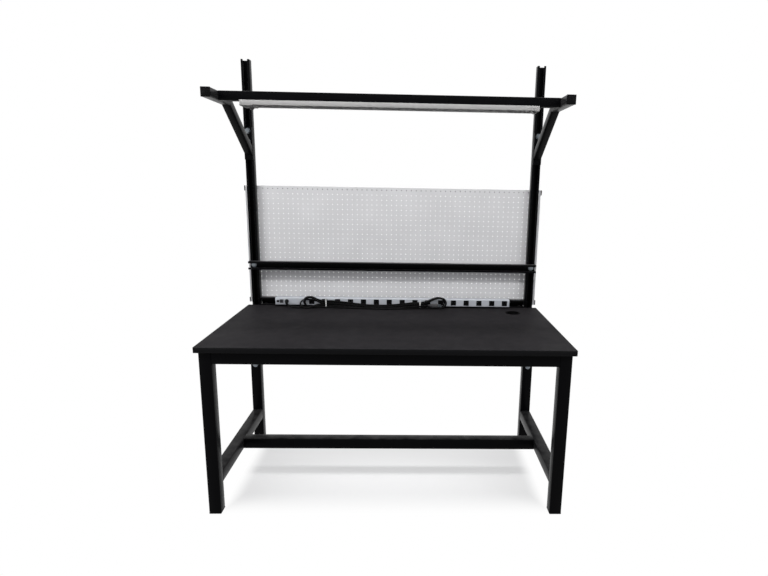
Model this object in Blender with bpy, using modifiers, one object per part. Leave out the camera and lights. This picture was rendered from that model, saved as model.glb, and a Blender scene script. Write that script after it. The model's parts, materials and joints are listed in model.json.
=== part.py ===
"""Assembly workbench: a steel-framed bench with strut uprights, a pegboard, an accessory
rail, a power strip and an overhead frame with a light.

Metres, +Z up. The origin is on the floor, at the middle of the bench's width and depth.
The user stands at -Y and looks along +Y, with +X to the right.
"""

import math

import bmesh
import bpy
from mathutils import Matrix, Vector

# Fits
CLEARANCE = 0.0003
OVERRUN = 0.01

# Worktop
WORKTOP_WIDTH = 1.524
WORKTOP_DEPTH = 0.762
WORKTOP_HEIGHT = 0.7366
WORKTOP_THICKNESS = 0.0222
EDGE_BAND_THICKNESS = 0.003
EDGE_BAND_CORNER_RADIUS = 0.005
EDGE_BAND_ROUNDING = 0.0012
GROMMET_FROM_RIGHT_EDGE = 0.147
GROMMET_FROM_REAR_EDGE = 0.126
GROMMET_FLANGE_DIAMETER = 0.074
GROMMET_LINER_DIAMETER = 0.064
GROMMET_BORE_DIAMETER = 0.058
GROMMET_FLANGE_THICKNESS = 0.002
GROMMET_LINER_LENGTH = 0.02

# Frame
LEG_SIZE = 0.0508
LEG_WALL = 0.0025
LEG_INSET = 0.0145
TUBE_CORNER_RADIUS = 0.004
LEG_CAP_THICKNESS = 0.008
LEG_CAP_PLUG_LENGTH = 0.025
LEG_CAP_ROUNDING = 0.002
APRON_HEIGHT = 0.0508
APRON_THICKNESS = 0.0254
APRON_WALL = 0.002
STRETCHER_SIZE = 0.0508
STRETCHER_WALL = 0.0025
STRETCHER_UNDERSIDE_HEIGHT = 0.1235

# Strut channel, used for the uprights and for both rails
STRUT_SIZE = 0.0413
STRUT_WALL = 0.0026
STRUT_SLOT = 0.0222
STRUT_LIP_DEPTH = 0.0071
STRUT_CORNER_RADIUS = 0.003
STRUT_NUT_WIDTH = 0.0345
STRUT_NUT_LENGTH = 0.0206
STRUT_NUT_THICKNESS = 0.0095
STRUT_NUT_GROOVE_DEPTH = 0.002
STRUT_NUT_GROOVE_PLAY = 0.0006

# Uprights
UPRIGHT_LENGTH = 1.55
UPRIGHT_FOOT_BELOW_WORKTOP = 0.3366
UPRIGHT_SETBACK = 0.003
UPRIGHT_BOLT_FROM_FOOT = 0.028
UPRIGHT_BOLT_SPACING = 0.21
SPACER_DIAMETER = 0.032

# Large bolts, which clamp in the strut channels
BOLT_DIAMETER = 0.0127
BOLT_HEAD_ACROSS_FLATS = 0.019
BOLT_HEAD_HEIGHT = 0.008
BOLT_WASHER_DIAMETER = 0.027
BOLT_WASHER_THICKNESS = 0.0025
BOLT_END_BEYOND_NUT = 0.004

# Small bolts and their nuts
SMALL_BOLT_DIAMETER = 0.008
SMALL_BOLT_ACROSS_FLATS = 0.013
SMALL_BOLT_HEAD_HEIGHT = 0.0053
SMALL_BOLT_WASHER_DIAMETER = 0.016
SMALL_BOLT_WASHER_THICKNESS = 0.0016
SMALL_NUT_THICKNESS = 0.0065
SMALL_BOLT_END_BEYOND_NUT = 0.002

# Bottom rail and its corner brackets
BOTTOM_RAIL_ABOVE_WORKTOP = 0.0158
BRACKET_LEG = 0.045
BRACKET_WIDTH = 0.034
BRACKET_THICKNESS = 0.004
BRACKET_INNER_RADIUS = 0.002

# Pegboard
PEGBOARD_HEIGHT = 0.6096
PEGBOARD_THICKNESS = 0.0015
PEGBOARD_ABOVE_WORKTOP = 0.0054
PEGBOARD_RAIL_HEIGHT = 0.0254
PEGBOARD_RAIL_DEPTH = 0.019
PEGBOARD_RAIL_WALL = 0.002
PEGBOARD_RAIL_OVERHANG = 0.006

# Accessory rail
ACCESSORY_RAIL_ABOVE_WORKTOP = 0.2134

# Overhead frame
OVERHEAD_TUBE_SIZE = 0.0381
OVERHEAD_TUBE_WALL = 0.002
ARM_ABOVE_WORKTOP = 0.9619
ARM_REACH = 0.5588
ARM_CAP_THICKNESS = 0.003
ARM_CAP_PLUG_LENGTH = 0.018
CROSSBAR_SETBACK = 0.09
BRACE_REACH = 0.315
BRACE_DROP = 0.2015
PLATE_WIDTH = 0.0413
PLATE_THICKNESS = 0.006
PLATE_LENGTH = 0.1575
PLATE_TOP_BELOW_ARM = 0.063
PLATE_CORNER_RADIUS = 0.003
PLATE_BOLT_FROM_TOP = 0.0195
PLATE_BOLT_SPACING = 0.05

# Light
LIGHT_LENGTH = 1.2192
LIGHT_DEPTH = 0.1
LIGHT_HEIGHT = 0.019
LIGHT_SHEET = 0.0012
LIGHT_LIP = 0.006
LIGHT_CORNER_RADIUS = 0.003
LIGHT_END_CAP_LENGTH = 0.008
LIGHT_SWITCH_BOX_LENGTH = 0.05
DIFFUSER_BOW = 0.003
DIFFUSER_WALL = 0.0016
DIFFUSER_RIM = 0.002
SWITCH_COLLAR_DIAMETER = 0.02
SWITCH_COLLAR_HEIGHT = 0.004
LIGHT_BUTTON_DIAMETER = 0.0136
LIGHT_BUTTON_STANDOUT = 0.0045
LIGHT_BUTTON_TRAVEL = 0.002
LIGHT_BUTTON_SEAT_DEPTH = 0.003
LIGHT_BUTTON_FROM_END = 0.029
LIGHT_BUTTON_BEHIND_MIDDLE = 0.028

# Power strip
STRIP_LENGTH = 1.229
STRIP_HEIGHT = 0.0381
STRIP_DEPTH = 0.038
STRIP_SHEET = 0.0012
STRIP_CORNER_RADIUS = 0.0015
STRIP_ABOVE_BOTTOM_RAIL = 0.0126
STRIP_CAP_THICKNESS = 0.002
STRIP_CAP_PLUG_LENGTH = 0.008
OUTLET_COUNT = 16
OUTLET_PITCH = 0.0673
OUTLET_FACE = 0.0273
OUTLET_STANDOUT = 0.0008
OUTLET_BODY = 0.0253
OUTLET_BODY_DEPTH = 0.02
OUTLET_FROM_RIGHT_END = 0.0285
BLADE_SLOT_HEIGHT = 0.008
BLADE_SLOT_WIDTH = 0.002
BLADE_SLOT_SPACING = 0.0127
BLADE_SLOT_RISE = 0.004
GROUND_HOLE_DIAMETER = 0.0052
GROUND_HOLE_DROP = 0.0076
SLOT_DEPTH = 0.012
RESET_FROM_LEFT_END = 0.0165
RESET_COLLAR_DIAMETER = 0.0134
RESET_COLLAR_HEIGHT = 0.0025
RESET_BODY_DIAMETER = 0.0112
RESET_BUTTON_DIAMETER = 0.0076
RESET_STANDOUT = 0.0045
RESET_TRAVEL = 0.0015
RESET_SEAT_DEPTH = 0.008
ROCKER_FROM_LEFT_END = 0.035
BEZEL_WIDTH = 0.0195
BEZEL_HEIGHT = 0.0178
BEZEL_STANDOUT = 0.0016
BEZEL_RIM = 0.0024
BEZEL_DEPTH = 0.014
BEZEL_FLANGE = 0.0012
ROCKER_PLAY = 0.0006
ROCKER_THICKNESS = 0.0072
ROCKER_END_STANDOUT = 0.0022
ROCKER_TILT = math.radians(6)
ROCKER_PIN_DIAMETER = 0.003
ROCKER_PIN_REACH = 0.0006
GLAND_FROM_LEFT_END = 0.062
GLAND_DIAMETER = 0.0205
GLAND_COLLAR_HEIGHT = 0.006
GLAND_STEM_DIAMETER = 0.0148
GLAND_STEM_LENGTH = 0.006

# Cord, its hank and its plug
CORD_DIAMETER = 0.0085
BOOT_ROOT_DIAMETER = 0.014
BOOT_TIP_DIAMETER = 0.0108
HANK_FROM_LEFT_END = 0.1375
HANK_LENGTH = 0.757
HANK_HEIGHT = 0.055
HANK_WAIST_HEIGHT = 0.034
HANK_THICKNESS = 0.04
HANK_BEFORE_STRIP = 0.007
HANK_TOP_RADIUS = 0.022
HANK_FOOT_RADIUS = 0.003
HANK_LEFT_LOOP = 0.105
HANK_RIGHT_LOOP = 0.12
HANK_SHOULDER = 0.04
PLUG_WINDOW_HEIGHT = 0.035
PLUG_LENGTH = 0.038
PLUG_WIDTH = 0.0245
PLUG_HEIGHT = 0.021
PLUG_NECK_DIAMETER = 0.0125
PLUG_NECK_LENGTH = 0.012
PLUG_NECK_INSIDE = 0.004
PLUG_ROUNDING = 0.003
PLUG_FROM_WINDOW_END = 0.022
BLADE_LENGTH = 0.0159
BLADE_HEIGHT = 0.0064
BLADE_THICKNESS = 0.0015
GROUND_PIN_DIAMETER = 0.0048
GROUND_PIN_LENGTH = 0.019
GROUND_PIN_DROP = 0.0059
BLADE_RISE = 0.002

# Route points of the strain relief and the cord's free stretch, right of, ahead of and above
# the middle of the gland's seat on the strip
CORD_ROUTE = (
    (0.0, 0.009, 0.0),
    (0.0, 0.012, 0.0),
    (0.0009, 0.0214, -0.001),
    (0.0039, 0.0297, -0.0037),
    (0.009, 0.0367, -0.0075),
    (0.0166, 0.042, -0.0119),
    (0.0268, 0.0454, -0.0163),
    (0.0398, 0.0464, -0.0201),
    (0.0559, 0.0447, -0.0228),
    (0.0752, 0.04, -0.02385),
    (0.085, 0.0376, -0.02385),
)
CORD_STEPS = 2
BOOT_STRETCHES = 4

# Colours of the finishes: base colour, roughness and metallic value
FINISHES = {
    "powder_coat": ((0.012, 0.012, 0.014), 0.42, 0.0),
    "laminate": ((0.024, 0.023, 0.024), 0.5, 0.0),
    "black_plastic": ((0.01, 0.01, 0.011), 0.45, 0.0),
    "zinc": ((0.55, 0.56, 0.58), 0.35, 1.0),
    "pegboard_paint": ((0.66, 0.66, 0.68), 0.4, 0.0),
    "light_paint": ((0.72, 0.72, 0.71), 0.38, 0.0),
    "diffuser_acrylic": ((0.42, 0.43, 0.42), 0.55, 0.0),
    "strip_aluminium": ((0.62, 0.63, 0.66), 0.34, 0.9),
    "cord_jacket": ((0.008, 0.008, 0.009), 0.5, 0.0),
    "plug_rubber": ((0.05, 0.05, 0.052), 0.5, 0.0),
}

# Round shapes: segments of a large circle, a small circle and a rounded corner
LARGE_ROUND = 32
SMALL_ROUND = 12
CORNER_STEPS = 2

# Depths, from the front of the bench to its back
OVERALL_DEPTH = (
    WORKTOP_DEPTH
    + UPRIGHT_SETBACK
    + STRUT_SIZE
    + PEGBOARD_THICKNESS
    + PEGBOARD_RAIL_DEPTH
    + 2 * CLEARANCE
)
WORKTOP_FRONT = -OVERALL_DEPTH / 2
WORKTOP_REAR = WORKTOP_FRONT + WORKTOP_DEPTH
WORKTOP_MIDDLE = (WORKTOP_FRONT + WORKTOP_REAR) / 2
LEGS_FRONT = WORKTOP_FRONT + LEG_INSET
LEGS_REAR = WORKTOP_REAR - LEG_INSET
UPRIGHT_FRONT = WORKTOP_REAR + UPRIGHT_SETBACK
UPRIGHT_REAR = UPRIGHT_FRONT + STRUT_SIZE
PANEL_FRONT = UPRIGHT_REAR + CLEARANCE
PANEL_REAR = PANEL_FRONT + PEGBOARD_THICKNESS
PEGBOARD_RAIL_FRONT = PANEL_REAR + CLEARANCE
STRIP_REAR = UPRIGHT_FRONT - CLEARANCE
STRIP_FRONT = STRIP_REAR - STRIP_DEPTH
PLATE_REAR = UPRIGHT_FRONT - CLEARANCE
PLATE_FRONT = PLATE_REAR - PLATE_THICKNESS
ARM_FRONT = UPRIGHT_FRONT - ARM_REACH
CROSSBAR_MIDDLE = ARM_FRONT + CROSSBAR_SETBACK + OVERHEAD_TUBE_SIZE / 2

# Widths and heights
LEG_X = WORKTOP_WIDTH / 2 - LEG_INSET - LEG_SIZE / 2
UPRIGHT_X = LEG_X
WORKTOP_UNDERSIDE = WORKTOP_HEIGHT - WORKTOP_THICKNESS
LEG_TOP = WORKTOP_UNDERSIDE - CLEARANCE
APRON_MIDDLE_HEIGHT = LEG_TOP - APRON_HEIGHT / 2
STRETCHER_MIDDLE_HEIGHT = STRETCHER_UNDERSIDE_HEIGHT + STRETCHER_SIZE / 2
UPRIGHT_FOOT_HEIGHT = WORKTOP_HEIGHT - UPRIGHT_FOOT_BELOW_WORKTOP
BOTTOM_RAIL_CENTRE_HEIGHT = WORKTOP_HEIGHT + BOTTOM_RAIL_ABOVE_WORKTOP
STRIP_CENTRE_HEIGHT = BOTTOM_RAIL_CENTRE_HEIGHT + STRIP_ABOVE_BOTTOM_RAIL
ACCESSORY_RAIL_CENTRE_HEIGHT = WORKTOP_HEIGHT + ACCESSORY_RAIL_ABOVE_WORKTOP
PEGBOARD_WIDTH = WORKTOP_WIDTH
PEGBOARD_UNDERSIDE_HEIGHT = WORKTOP_HEIGHT + PEGBOARD_ABOVE_WORKTOP
PEGBOARD_TOP = PEGBOARD_UNDERSIDE_HEIGHT + PEGBOARD_HEIGHT
ARM_UNDERSIDE_HEIGHT = WORKTOP_HEIGHT + ARM_ABOVE_WORKTOP
ARM_MIDDLE_HEIGHT = ARM_UNDERSIDE_HEIGHT + OVERHEAD_TUBE_SIZE / 2
PLATE_TOP = ARM_UNDERSIDE_HEIGHT - PLATE_TOP_BELOW_ARM
LIGHT_TOP = ARM_UNDERSIDE_HEIGHT - CLEARANCE
LIGHT_UNDERSIDE = LIGHT_TOP - LIGHT_HEIGHT
LIGHT_LEFT = -LIGHT_LENGTH / 2
LIGHT_SKIRT = LIGHT_HEIGHT - LIGHT_SHEET
STRIP_LEFT = -STRIP_LENGTH / 2
STRIP_RIGHT = STRIP_LENGTH / 2

# Strut nuts: how far behind the channel's open face they reach
STRUT_NUT_GROOVE = STRUT_LIP_DEPTH + CLEARANCE
STRUT_NUT_FRONT = STRUT_NUT_GROOVE - STRUT_NUT_GROOVE_DEPTH
STRUT_NUT_REAR = STRUT_NUT_FRONT + STRUT_NUT_THICKNESS

# Turns that point a fastener's head, or lay a part that was drawn upright
HEAD_TO_FRONT = Matrix.Rotation(math.radians(90), 4, "X")
HEAD_DOWN = Matrix.Rotation(math.radians(180), 4, "X")
HEAD_TO_RIGHT = Matrix.Rotation(math.radians(90), 4, "Y")
HEAD_TO_LEFT = Matrix.Rotation(math.radians(-90), 4, "Y")
UPSIDE_DOWN = Matrix.Rotation(math.radians(180), 4, "Y")
ALONG_X = Matrix.Rotation(math.radians(90), 4, "Y")
ALONG_Y = Matrix.Rotation(math.radians(-90), 4, "X")
ACROSS = Matrix.Rotation(math.radians(90), 4, "Z") @ Matrix.Rotation(math.radians(90), 4, "X")

SIDES = (("left", -1), ("right", 1))


def clear_scene():
    """Removes every object, so that the bench is the only thing in the scene."""
    for thing in list(bpy.data.objects):
        bpy.data.objects.remove(thing, do_unlink=True)


def collection(name):
    """A collection in the scene, made when it is first asked for."""
    found = bpy.data.collections.get(name)
    if found is None:
        found = bpy.data.collections.new(name)
        bpy.context.scene.collection.children.link(found)
    return found


def finish(name):
    """The material of a finish, made when it is first asked for."""
    found = bpy.data.materials.get(name)
    if found is None:
        colour, roughness, metallic = FINISHES[name]
        found = bpy.data.materials.new(name)
        found.use_nodes = True
        shader = found.node_tree.nodes["Principled BSDF"]
        shader.inputs["Base Color"].default_value = (*colour, 1)
        shader.inputs["Roughness"].default_value = roughness
        shader.inputs["Metallic"].default_value = metallic
    return found


def part(name, mesh, finish_name, place=Matrix()):
    """A named object of the bench, from its mesh, its finish and its place."""
    thing = bpy.data.objects.new(name, mesh)
    mesh.materials.clear()
    mesh.materials.append(finish(finish_name))
    collection("assembly_workbench").objects.link(thing)
    thing.matrix_world = place
    return thing


def cutter(mesh, place=Matrix()):
    """An object that only cuts others."""
    thing = bpy.data.objects.new("cutter", mesh)
    collection("cutters").objects.link(thing)
    thing.hide_render = True
    thing.display_type = "WIRE"
    thing.matrix_world = place
    return thing


def cut(target, tool):
    """Takes one object's shape out of another."""
    boolean = target.modifiers.new("cut", "BOOLEAN")
    boolean.operation = "DIFFERENCE"
    boolean.solver = "EXACT"
    boolean.object = tool


def soften(thing, width, segments=1):
    """Rounds the sharp edges of an object."""
    bevel = thing.modifiers.new("soften", "BEVEL")
    bevel.width = width
    bevel.segments = segments
    bevel.limit_method = "ANGLE"


def evaluated_mesh(thing):
    """The mesh of an object with its modifiers, welded, and the object removed."""
    bpy.context.view_layer.update()
    depsgraph = bpy.context.evaluated_depsgraph_get()
    mesh = bpy.data.meshes.new_from_object(thing.evaluated_get(depsgraph))
    mesh.transform(thing.matrix_world)
    shape = bmesh.new()
    shape.from_mesh(mesh)
    bmesh.ops.remove_doubles(shape, verts=shape.verts, dist=CLEARANCE / 20)
    bmesh.ops.recalc_face_normals(shape, faces=shape.faces)
    shape.to_mesh(mesh)
    shape.free()
    bpy.data.objects.remove(thing, do_unlink=True)
    return mesh


def moved(mesh, place):
    """A mesh at a place, from one that stands at the origin."""
    mesh.transform(place)
    return mesh


def at(x, y, z, turn=Matrix()):
    """A place: a turn and then a move."""
    return Matrix.Translation((x, y, z)) @ turn


def filleted(outline, radius, steps=CORNER_STEPS):
    """An outline with its corners rounded: one radius for all, or one for each corner."""
    radii = radius if isinstance(radius, (list, tuple)) else [radius] * len(outline)
    points = []
    for index, corner in enumerate(outline):
        if not radii[index]:
            points.append(corner)
            continue
        here = Vector(corner)
        before = (Vector(outline[index - 1]) - here).normalized()
        after = (Vector(outline[(index + 1) % len(outline)]) - here).normalized()
        half = before.angle(after) / 2
        centre = here + (before + after).normalized() * radii[index] / math.sin(half)
        start = here + before * radii[index] / math.tan(half) - centre
        end = here + after * radii[index] / math.tan(half) - centre
        sweep = math.atan2(start.cross(end), start.dot(end))
        for step in range(steps + 1):
            turned = start.copy()
            turned.rotate(Matrix.Rotation(sweep * step / steps, 2))
            points.append(tuple(centre + turned))
    return points


def rectangle(width, depth, radius=0.0, steps=CORNER_STEPS, middle=(0, 0)):
    """A rectangle's outline around its middle, with rounded corners where it has a radius."""
    x, y = middle
    corners = [
        (x - width / 2, y - depth / 2),
        (x + width / 2, y - depth / 2),
        (x + width / 2, y + depth / 2),
        (x - width / 2, y + depth / 2),
    ]
    return filleted(corners, radius, steps) if radius else corners


def circle(diameter, segments, middle=(0, 0)):
    """A circle's outline."""
    x, y = middle
    return [
        (
            x + diameter / 2 * math.cos(math.tau * step / segments),
            y + diameter / 2 * math.sin(math.tau * step / segments),
        )
        for step in range(segments)
    ]


def mirrored(half):
    """A closed outline from its right half, which runs from one end of the axis to the other."""
    return list(half) + [(-x, y) for x, y in reversed(half)]


def extruded(loops, length):
    """The mesh of an outline, with any holes in it, extruded along Z about its middle."""
    curve = bpy.data.curves.new("outline", "CURVE")
    curve.dimensions = "2D"
    curve.fill_mode = "BOTH"
    curve.extrude = length / 2
    for loop in loops:
        spline = curve.splines.new("POLY")
        spline.points.add(len(loop) - 1)
        for point, (x, y) in zip(spline.points, loop):
            point.co = (x, y, 0, 1)
        spline.use_cyclic_u = True
    thing = bpy.data.objects.new("outline", curve)
    bpy.context.scene.collection.objects.link(thing)
    mesh = evaluated_mesh(thing)
    bpy.data.curves.remove(curve)
    return mesh


def block(width, depth, height, middle=(0, 0, 0)):
    """The mesh of a box around its middle."""
    shape = bmesh.new()
    size = Matrix.Diagonal((width, depth, height, 1))
    bmesh.ops.create_cube(shape, size=1, matrix=Matrix.Translation(middle) @ size)
    mesh = bpy.data.meshes.new("block")
    shape.to_mesh(mesh)
    shape.free()
    return mesh


def rod(diameter, low, high, segments=SMALL_ROUND):
    """The mesh of an upright cylinder, or a prism with few segments, between two heights."""
    shape = bmesh.new()
    bmesh.ops.create_cone(
        shape,
        cap_ends=True,
        segments=segments,
        radius1=diameter / 2,
        radius2=diameter / 2,
        depth=high - low,
        matrix=Matrix.Translation((0, 0, (low + high) / 2)),
    )
    mesh = bpy.data.meshes.new("rod")
    shape.to_mesh(mesh)
    shape.free()
    return mesh


def turned(profile, steps=SMALL_ROUND):
    """The mesh of a profile turned about Z. The profile runs down its outer side."""
    mesh = bpy.data.meshes.new("profile")
    points = [(radius, 0, height) for radius, height in profile]
    mesh.from_pydata(points, [(i, i + 1) for i in range(len(points) - 1)], [])
    thing = bpy.data.objects.new("profile", mesh)
    bpy.context.scene.collection.objects.link(thing)
    screw = thing.modifiers.new("turn", "SCREW")
    screw.axis = "Z"
    screw.steps = steps
    screw.render_steps = steps
    screw.use_merge_vertices = True
    screw.merge_threshold = CLEARANCE / 20
    return evaluated_mesh(thing)


def gathered(meshes_and_places):
    """One mesh from copies of several, each at its place."""
    shape = bmesh.new()
    for mesh, place in meshes_and_places:
        copy = mesh.copy()
        copy.transform(place)
        shape.from_mesh(copy)
        bpy.data.meshes.remove(copy)
    mesh = bpy.data.meshes.new("gathered")
    shape.to_mesh(mesh)
    shape.free()
    return mesh


def combined(first, second, operation):
    """One mesh from two, with a Boolean operation."""
    thing = bpy.data.objects.new("first", first)
    other = bpy.data.objects.new("second", second)
    for item in (thing, other):
        bpy.context.scene.collection.objects.link(item)
    boolean = thing.modifiers.new("combine", "BOOLEAN")
    boolean.operation = operation
    boolean.solver = "EXACT"
    boolean.object = other
    mesh = evaluated_mesh(thing)
    bpy.data.objects.remove(other, do_unlink=True)
    return mesh


def joined(first, second):
    """One solid from two meshes that overlap."""
    return combined(first, second, "UNION")


def hollowed(first, tool):
    """A mesh with another's shape taken out of it."""
    return combined(first, tool, "DIFFERENCE")


def hex_across_flats(width):
    """The diameter round the corners of a hexagon that is this wide across its flats."""
    return width / math.cos(math.radians(30))


def square_tube(size, wall, length, depth=None):
    """A square or rectangular tube, upright, around its middle."""
    depth = depth or size
    outside = rectangle(size, depth, TUBE_CORNER_RADIUS)
    inside = rectangle(size - 2 * wall, depth - 2 * wall)
    return extruded([outside, inside], length)


def softened(mesh, width, segments=1):
    """A mesh with its sharp edges rounded."""
    thing = bpy.data.objects.new("soft", mesh)
    bpy.context.scene.collection.objects.link(thing)
    soften(thing, width, segments)
    return evaluated_mesh(thing)


def tube_plug(outside, thickness, inside, length, rounding):
    """A cap whose flange lies under Z=0 and whose plug stands above it."""
    flange = block(outside, outside, thickness, (0, 0, -thickness / 2))
    plug = block(inside, inside, length + thickness / 2, (0, 0, length / 2 - thickness / 4))
    return joined(softened(flange, rounding), plug)


def strut(length):
    """A strut channel, upright, its open face at Y=0 and its back at +Y."""
    edge = STRUT_SIZE / 2
    slot = STRUT_SLOT / 2
    half = [
        (slot, STRUT_LIP_DEPTH),
        (slot, 0),
        (edge, 0),
        (edge, STRUT_SIZE),
    ]
    inner = [
        (edge - STRUT_WALL, STRUT_SIZE - STRUT_WALL),
        (edge - STRUT_WALL, STRUT_WALL),
        (slot + STRUT_WALL, STRUT_WALL),
        (slot + STRUT_WALL, STRUT_LIP_DEPTH),
    ]
    right = half[:4]
    left = [(-x, y) for x, y in reversed(half)]
    left_inner = [(-x, y) for x, y in reversed(inner)]
    outline = right + left + left_inner + inner
    rounded = {1: STRUT_WALL / 2, 2: STRUT_CORNER_RADIUS, 3: STRUT_CORNER_RADIUS}
    radii = [0] * len(outline)
    for index, radius in rounded.items():
        radii[index] = radius
        radii[len(right) + len(left) - 1 - index] = radius
    return extruded([filleted(outline, radii)], length)


def strut_nut(length):
    """A strut nut whose grooves seat on a channel's lips, the channel's open face at Y=0."""
    lip_inside = STRUT_SLOT / 2 - STRUT_NUT_GROOVE_PLAY
    lip_outside = STRUT_SLOT / 2 + STRUT_WALL + STRUT_NUT_GROOVE_PLAY
    half = [
        (lip_inside, STRUT_NUT_FRONT),
        (lip_inside, STRUT_NUT_GROOVE),
        (lip_outside, STRUT_NUT_GROOVE),
        (lip_outside, STRUT_NUT_FRONT),
        (STRUT_NUT_WIDTH / 2, STRUT_NUT_FRONT),
        (STRUT_NUT_WIDTH / 2, STRUT_NUT_REAR),
    ]
    return extruded([mirrored(half)], length)


def hex_head(across_flats, height, washer_diameter, washer_thickness):
    """A hexagon head on its washer, the washer's underside at Z=0."""
    washer = rod(washer_diameter, 0, washer_thickness, 2 * SMALL_ROUND)
    head = rod(
        hex_across_flats(across_flats), washer_thickness / 2, washer_thickness + height, 6
    )
    return joined(washer, head)


def clamp_bolt(grip, spacer=()):
    """A large bolt with its strut nut, the channel's open face at Y=0, the head at -grip.

    The spacer, where there is one, is the stretch of Y that it fills between two pieces.
    """
    end = STRUT_NUT_REAR + BOLT_END_BEYOND_NUT
    bolt = joined(
        rod(BOLT_DIAMETER, -end, grip + BOLT_WASHER_THICKNESS / 2),
        moved(
            hex_head(
                BOLT_HEAD_ACROSS_FLATS,
                BOLT_HEAD_HEIGHT,
                BOLT_WASHER_DIAMETER,
                BOLT_WASHER_THICKNESS,
            ),
            at(0, 0, grip),
        ),
    )
    if spacer:
        front, rear = spacer
        bolt = joined(bolt, rod(SPACER_DIAMETER, -rear, -front, 2 * SMALL_ROUND))
    return joined(moved(bolt, HEAD_TO_FRONT), strut_nut(STRUT_NUT_LENGTH))


def small_bolt(grip):
    """A small bolt with its nut: the washer's underside at Z=0 and the nut below the grip."""
    end = grip + SMALL_NUT_THICKNESS + SMALL_BOLT_END_BEYOND_NUT
    shank = rod(SMALL_BOLT_DIAMETER, -end, SMALL_BOLT_WASHER_THICKNESS / 2)
    head = hex_head(
        SMALL_BOLT_ACROSS_FLATS,
        SMALL_BOLT_HEAD_HEIGHT,
        SMALL_BOLT_WASHER_DIAMETER,
        SMALL_BOLT_WASHER_THICKNESS,
    )
    nut = rod(
        hex_across_flats(SMALL_BOLT_ACROSS_FLATS), -grip - SMALL_NUT_THICKNESS, -grip, 6
    )
    return joined(joined(shank, head), nut)


def holes(diameter, depth, places):
    """A cutter for holes: each runs both ways from its place along the fastener's axis."""
    tool = rod(diameter, -depth, depth)
    return cutter(gathered([(tool, place) for place in places]))


def angle_outline(leg, thickness, inner_radius):
    """An angle's outline, its outer corner at the origin and its legs along +X and +Y."""
    corners = [
        (0, 0),
        (leg, 0),
        (leg, thickness),
        (thickness, thickness),
        (thickness, leg),
        (0, leg),
    ]
    return filleted(corners, [thickness / 2, 0, 0, inner_radius, 0, 0])


def smooth_line(points, steps):
    """Points on a smooth curve through the given ones, with steps to each stretch."""
    route = [Vector(point) for point in points]
    ends = [2 * route[0] - route[1], *route, 2 * route[-1] - route[-2]]
    line = []
    for index in range(1, len(ends) - 2):
        before, here, there, after = ends[index - 1:index + 3]
        for step in range(steps):
            t = step / steps
            line.append(
                (
                    2 * here
                    + (there - before) * t
                    + (2 * before - 5 * here + 4 * there - after) * t**2
                    + (3 * here - before - 3 * there + after) * t**3
                )
                / 2
            )
    return [*line, route[-1]]


def cord_tube(points, diameters, resolution=2):
    """The mesh of a round tube along a line, with a diameter at each point."""
    curve = bpy.data.curves.new("line", "CURVE")
    curve.dimensions = "3D"
    curve.bevel_depth = diameters[0] / 2
    curve.bevel_resolution = resolution
    curve.use_fill_caps = True
    spline = curve.splines.new("POLY")
    spline.points.add(len(points) - 1)
    for point, place, diameter in zip(spline.points, points, diameters):
        point.co = (*place, 1)
        point.radius = diameter / diameters[0]
    thing = bpy.data.objects.new("line", curve)
    bpy.context.scene.collection.objects.link(thing)
    mesh = evaluated_mesh(thing)
    bpy.data.curves.remove(curve)
    return mesh


def build_worktop():
    """The laminated board, its edge band and the cable grommet."""
    core_width = WORKTOP_WIDTH - 2 * EDGE_BAND_THICKNESS
    core_depth = WORKTOP_DEPTH - 2 * EDGE_BAND_THICKNESS
    grommet_x = WORKTOP_WIDTH / 2 - GROMMET_FROM_RIGHT_EDGE
    grommet_y = WORKTOP_REAR - GROMMET_FROM_REAR_EDGE
    hole = circle(
        GROMMET_LINER_DIAMETER + 2 * CLEARANCE,
        LARGE_ROUND,
        (grommet_x, grommet_y - WORKTOP_MIDDLE),
    )
    middle_height = WORKTOP_HEIGHT - WORKTOP_THICKNESS / 2
    part(
        "worktop",
        extruded([rectangle(core_width, core_depth), hole], WORKTOP_THICKNESS),
        "laminate",
        at(0, WORKTOP_MIDDLE, middle_height),
    )
    outside = rectangle(WORKTOP_WIDTH, WORKTOP_DEPTH, EDGE_BAND_CORNER_RADIUS, 4)
    inside = rectangle(core_width + 2 * CLEARANCE, core_depth + 2 * CLEARANCE)
    band = part(
        "worktop_edge_band",
        extruded([outside, inside], WORKTOP_THICKNESS),
        "black_plastic",
        at(0, WORKTOP_MIDDLE, middle_height),
    )
    soften(band, EDGE_BAND_ROUNDING)

    bore = GROMMET_BORE_DIAMETER / 2
    liner = GROMMET_LINER_DIAMETER / 2
    flange = GROMMET_FLANGE_DIAMETER / 2
    flange_top = GROMMET_FLANGE_THICKNESS + CLEARANCE
    ring = [
        (bore + GROMMET_FLANGE_THICKNESS, flange_top),
        (flange - GROMMET_FLANGE_THICKNESS, flange_top),
        (flange, CLEARANCE),
        (liner, CLEARANCE),
        (liner, -GROMMET_LINER_LENGTH),
        (bore, -GROMMET_LINER_LENGTH),
        (bore, CLEARANCE),
        (bore + GROMMET_FLANGE_THICKNESS, flange_top),
    ]
    part(
        "cable_grommet",
        turned(ring, LARGE_ROUND),
        "black_plastic",
        at(grommet_x, grommet_y, WORKTOP_HEIGHT),
    )


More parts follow.
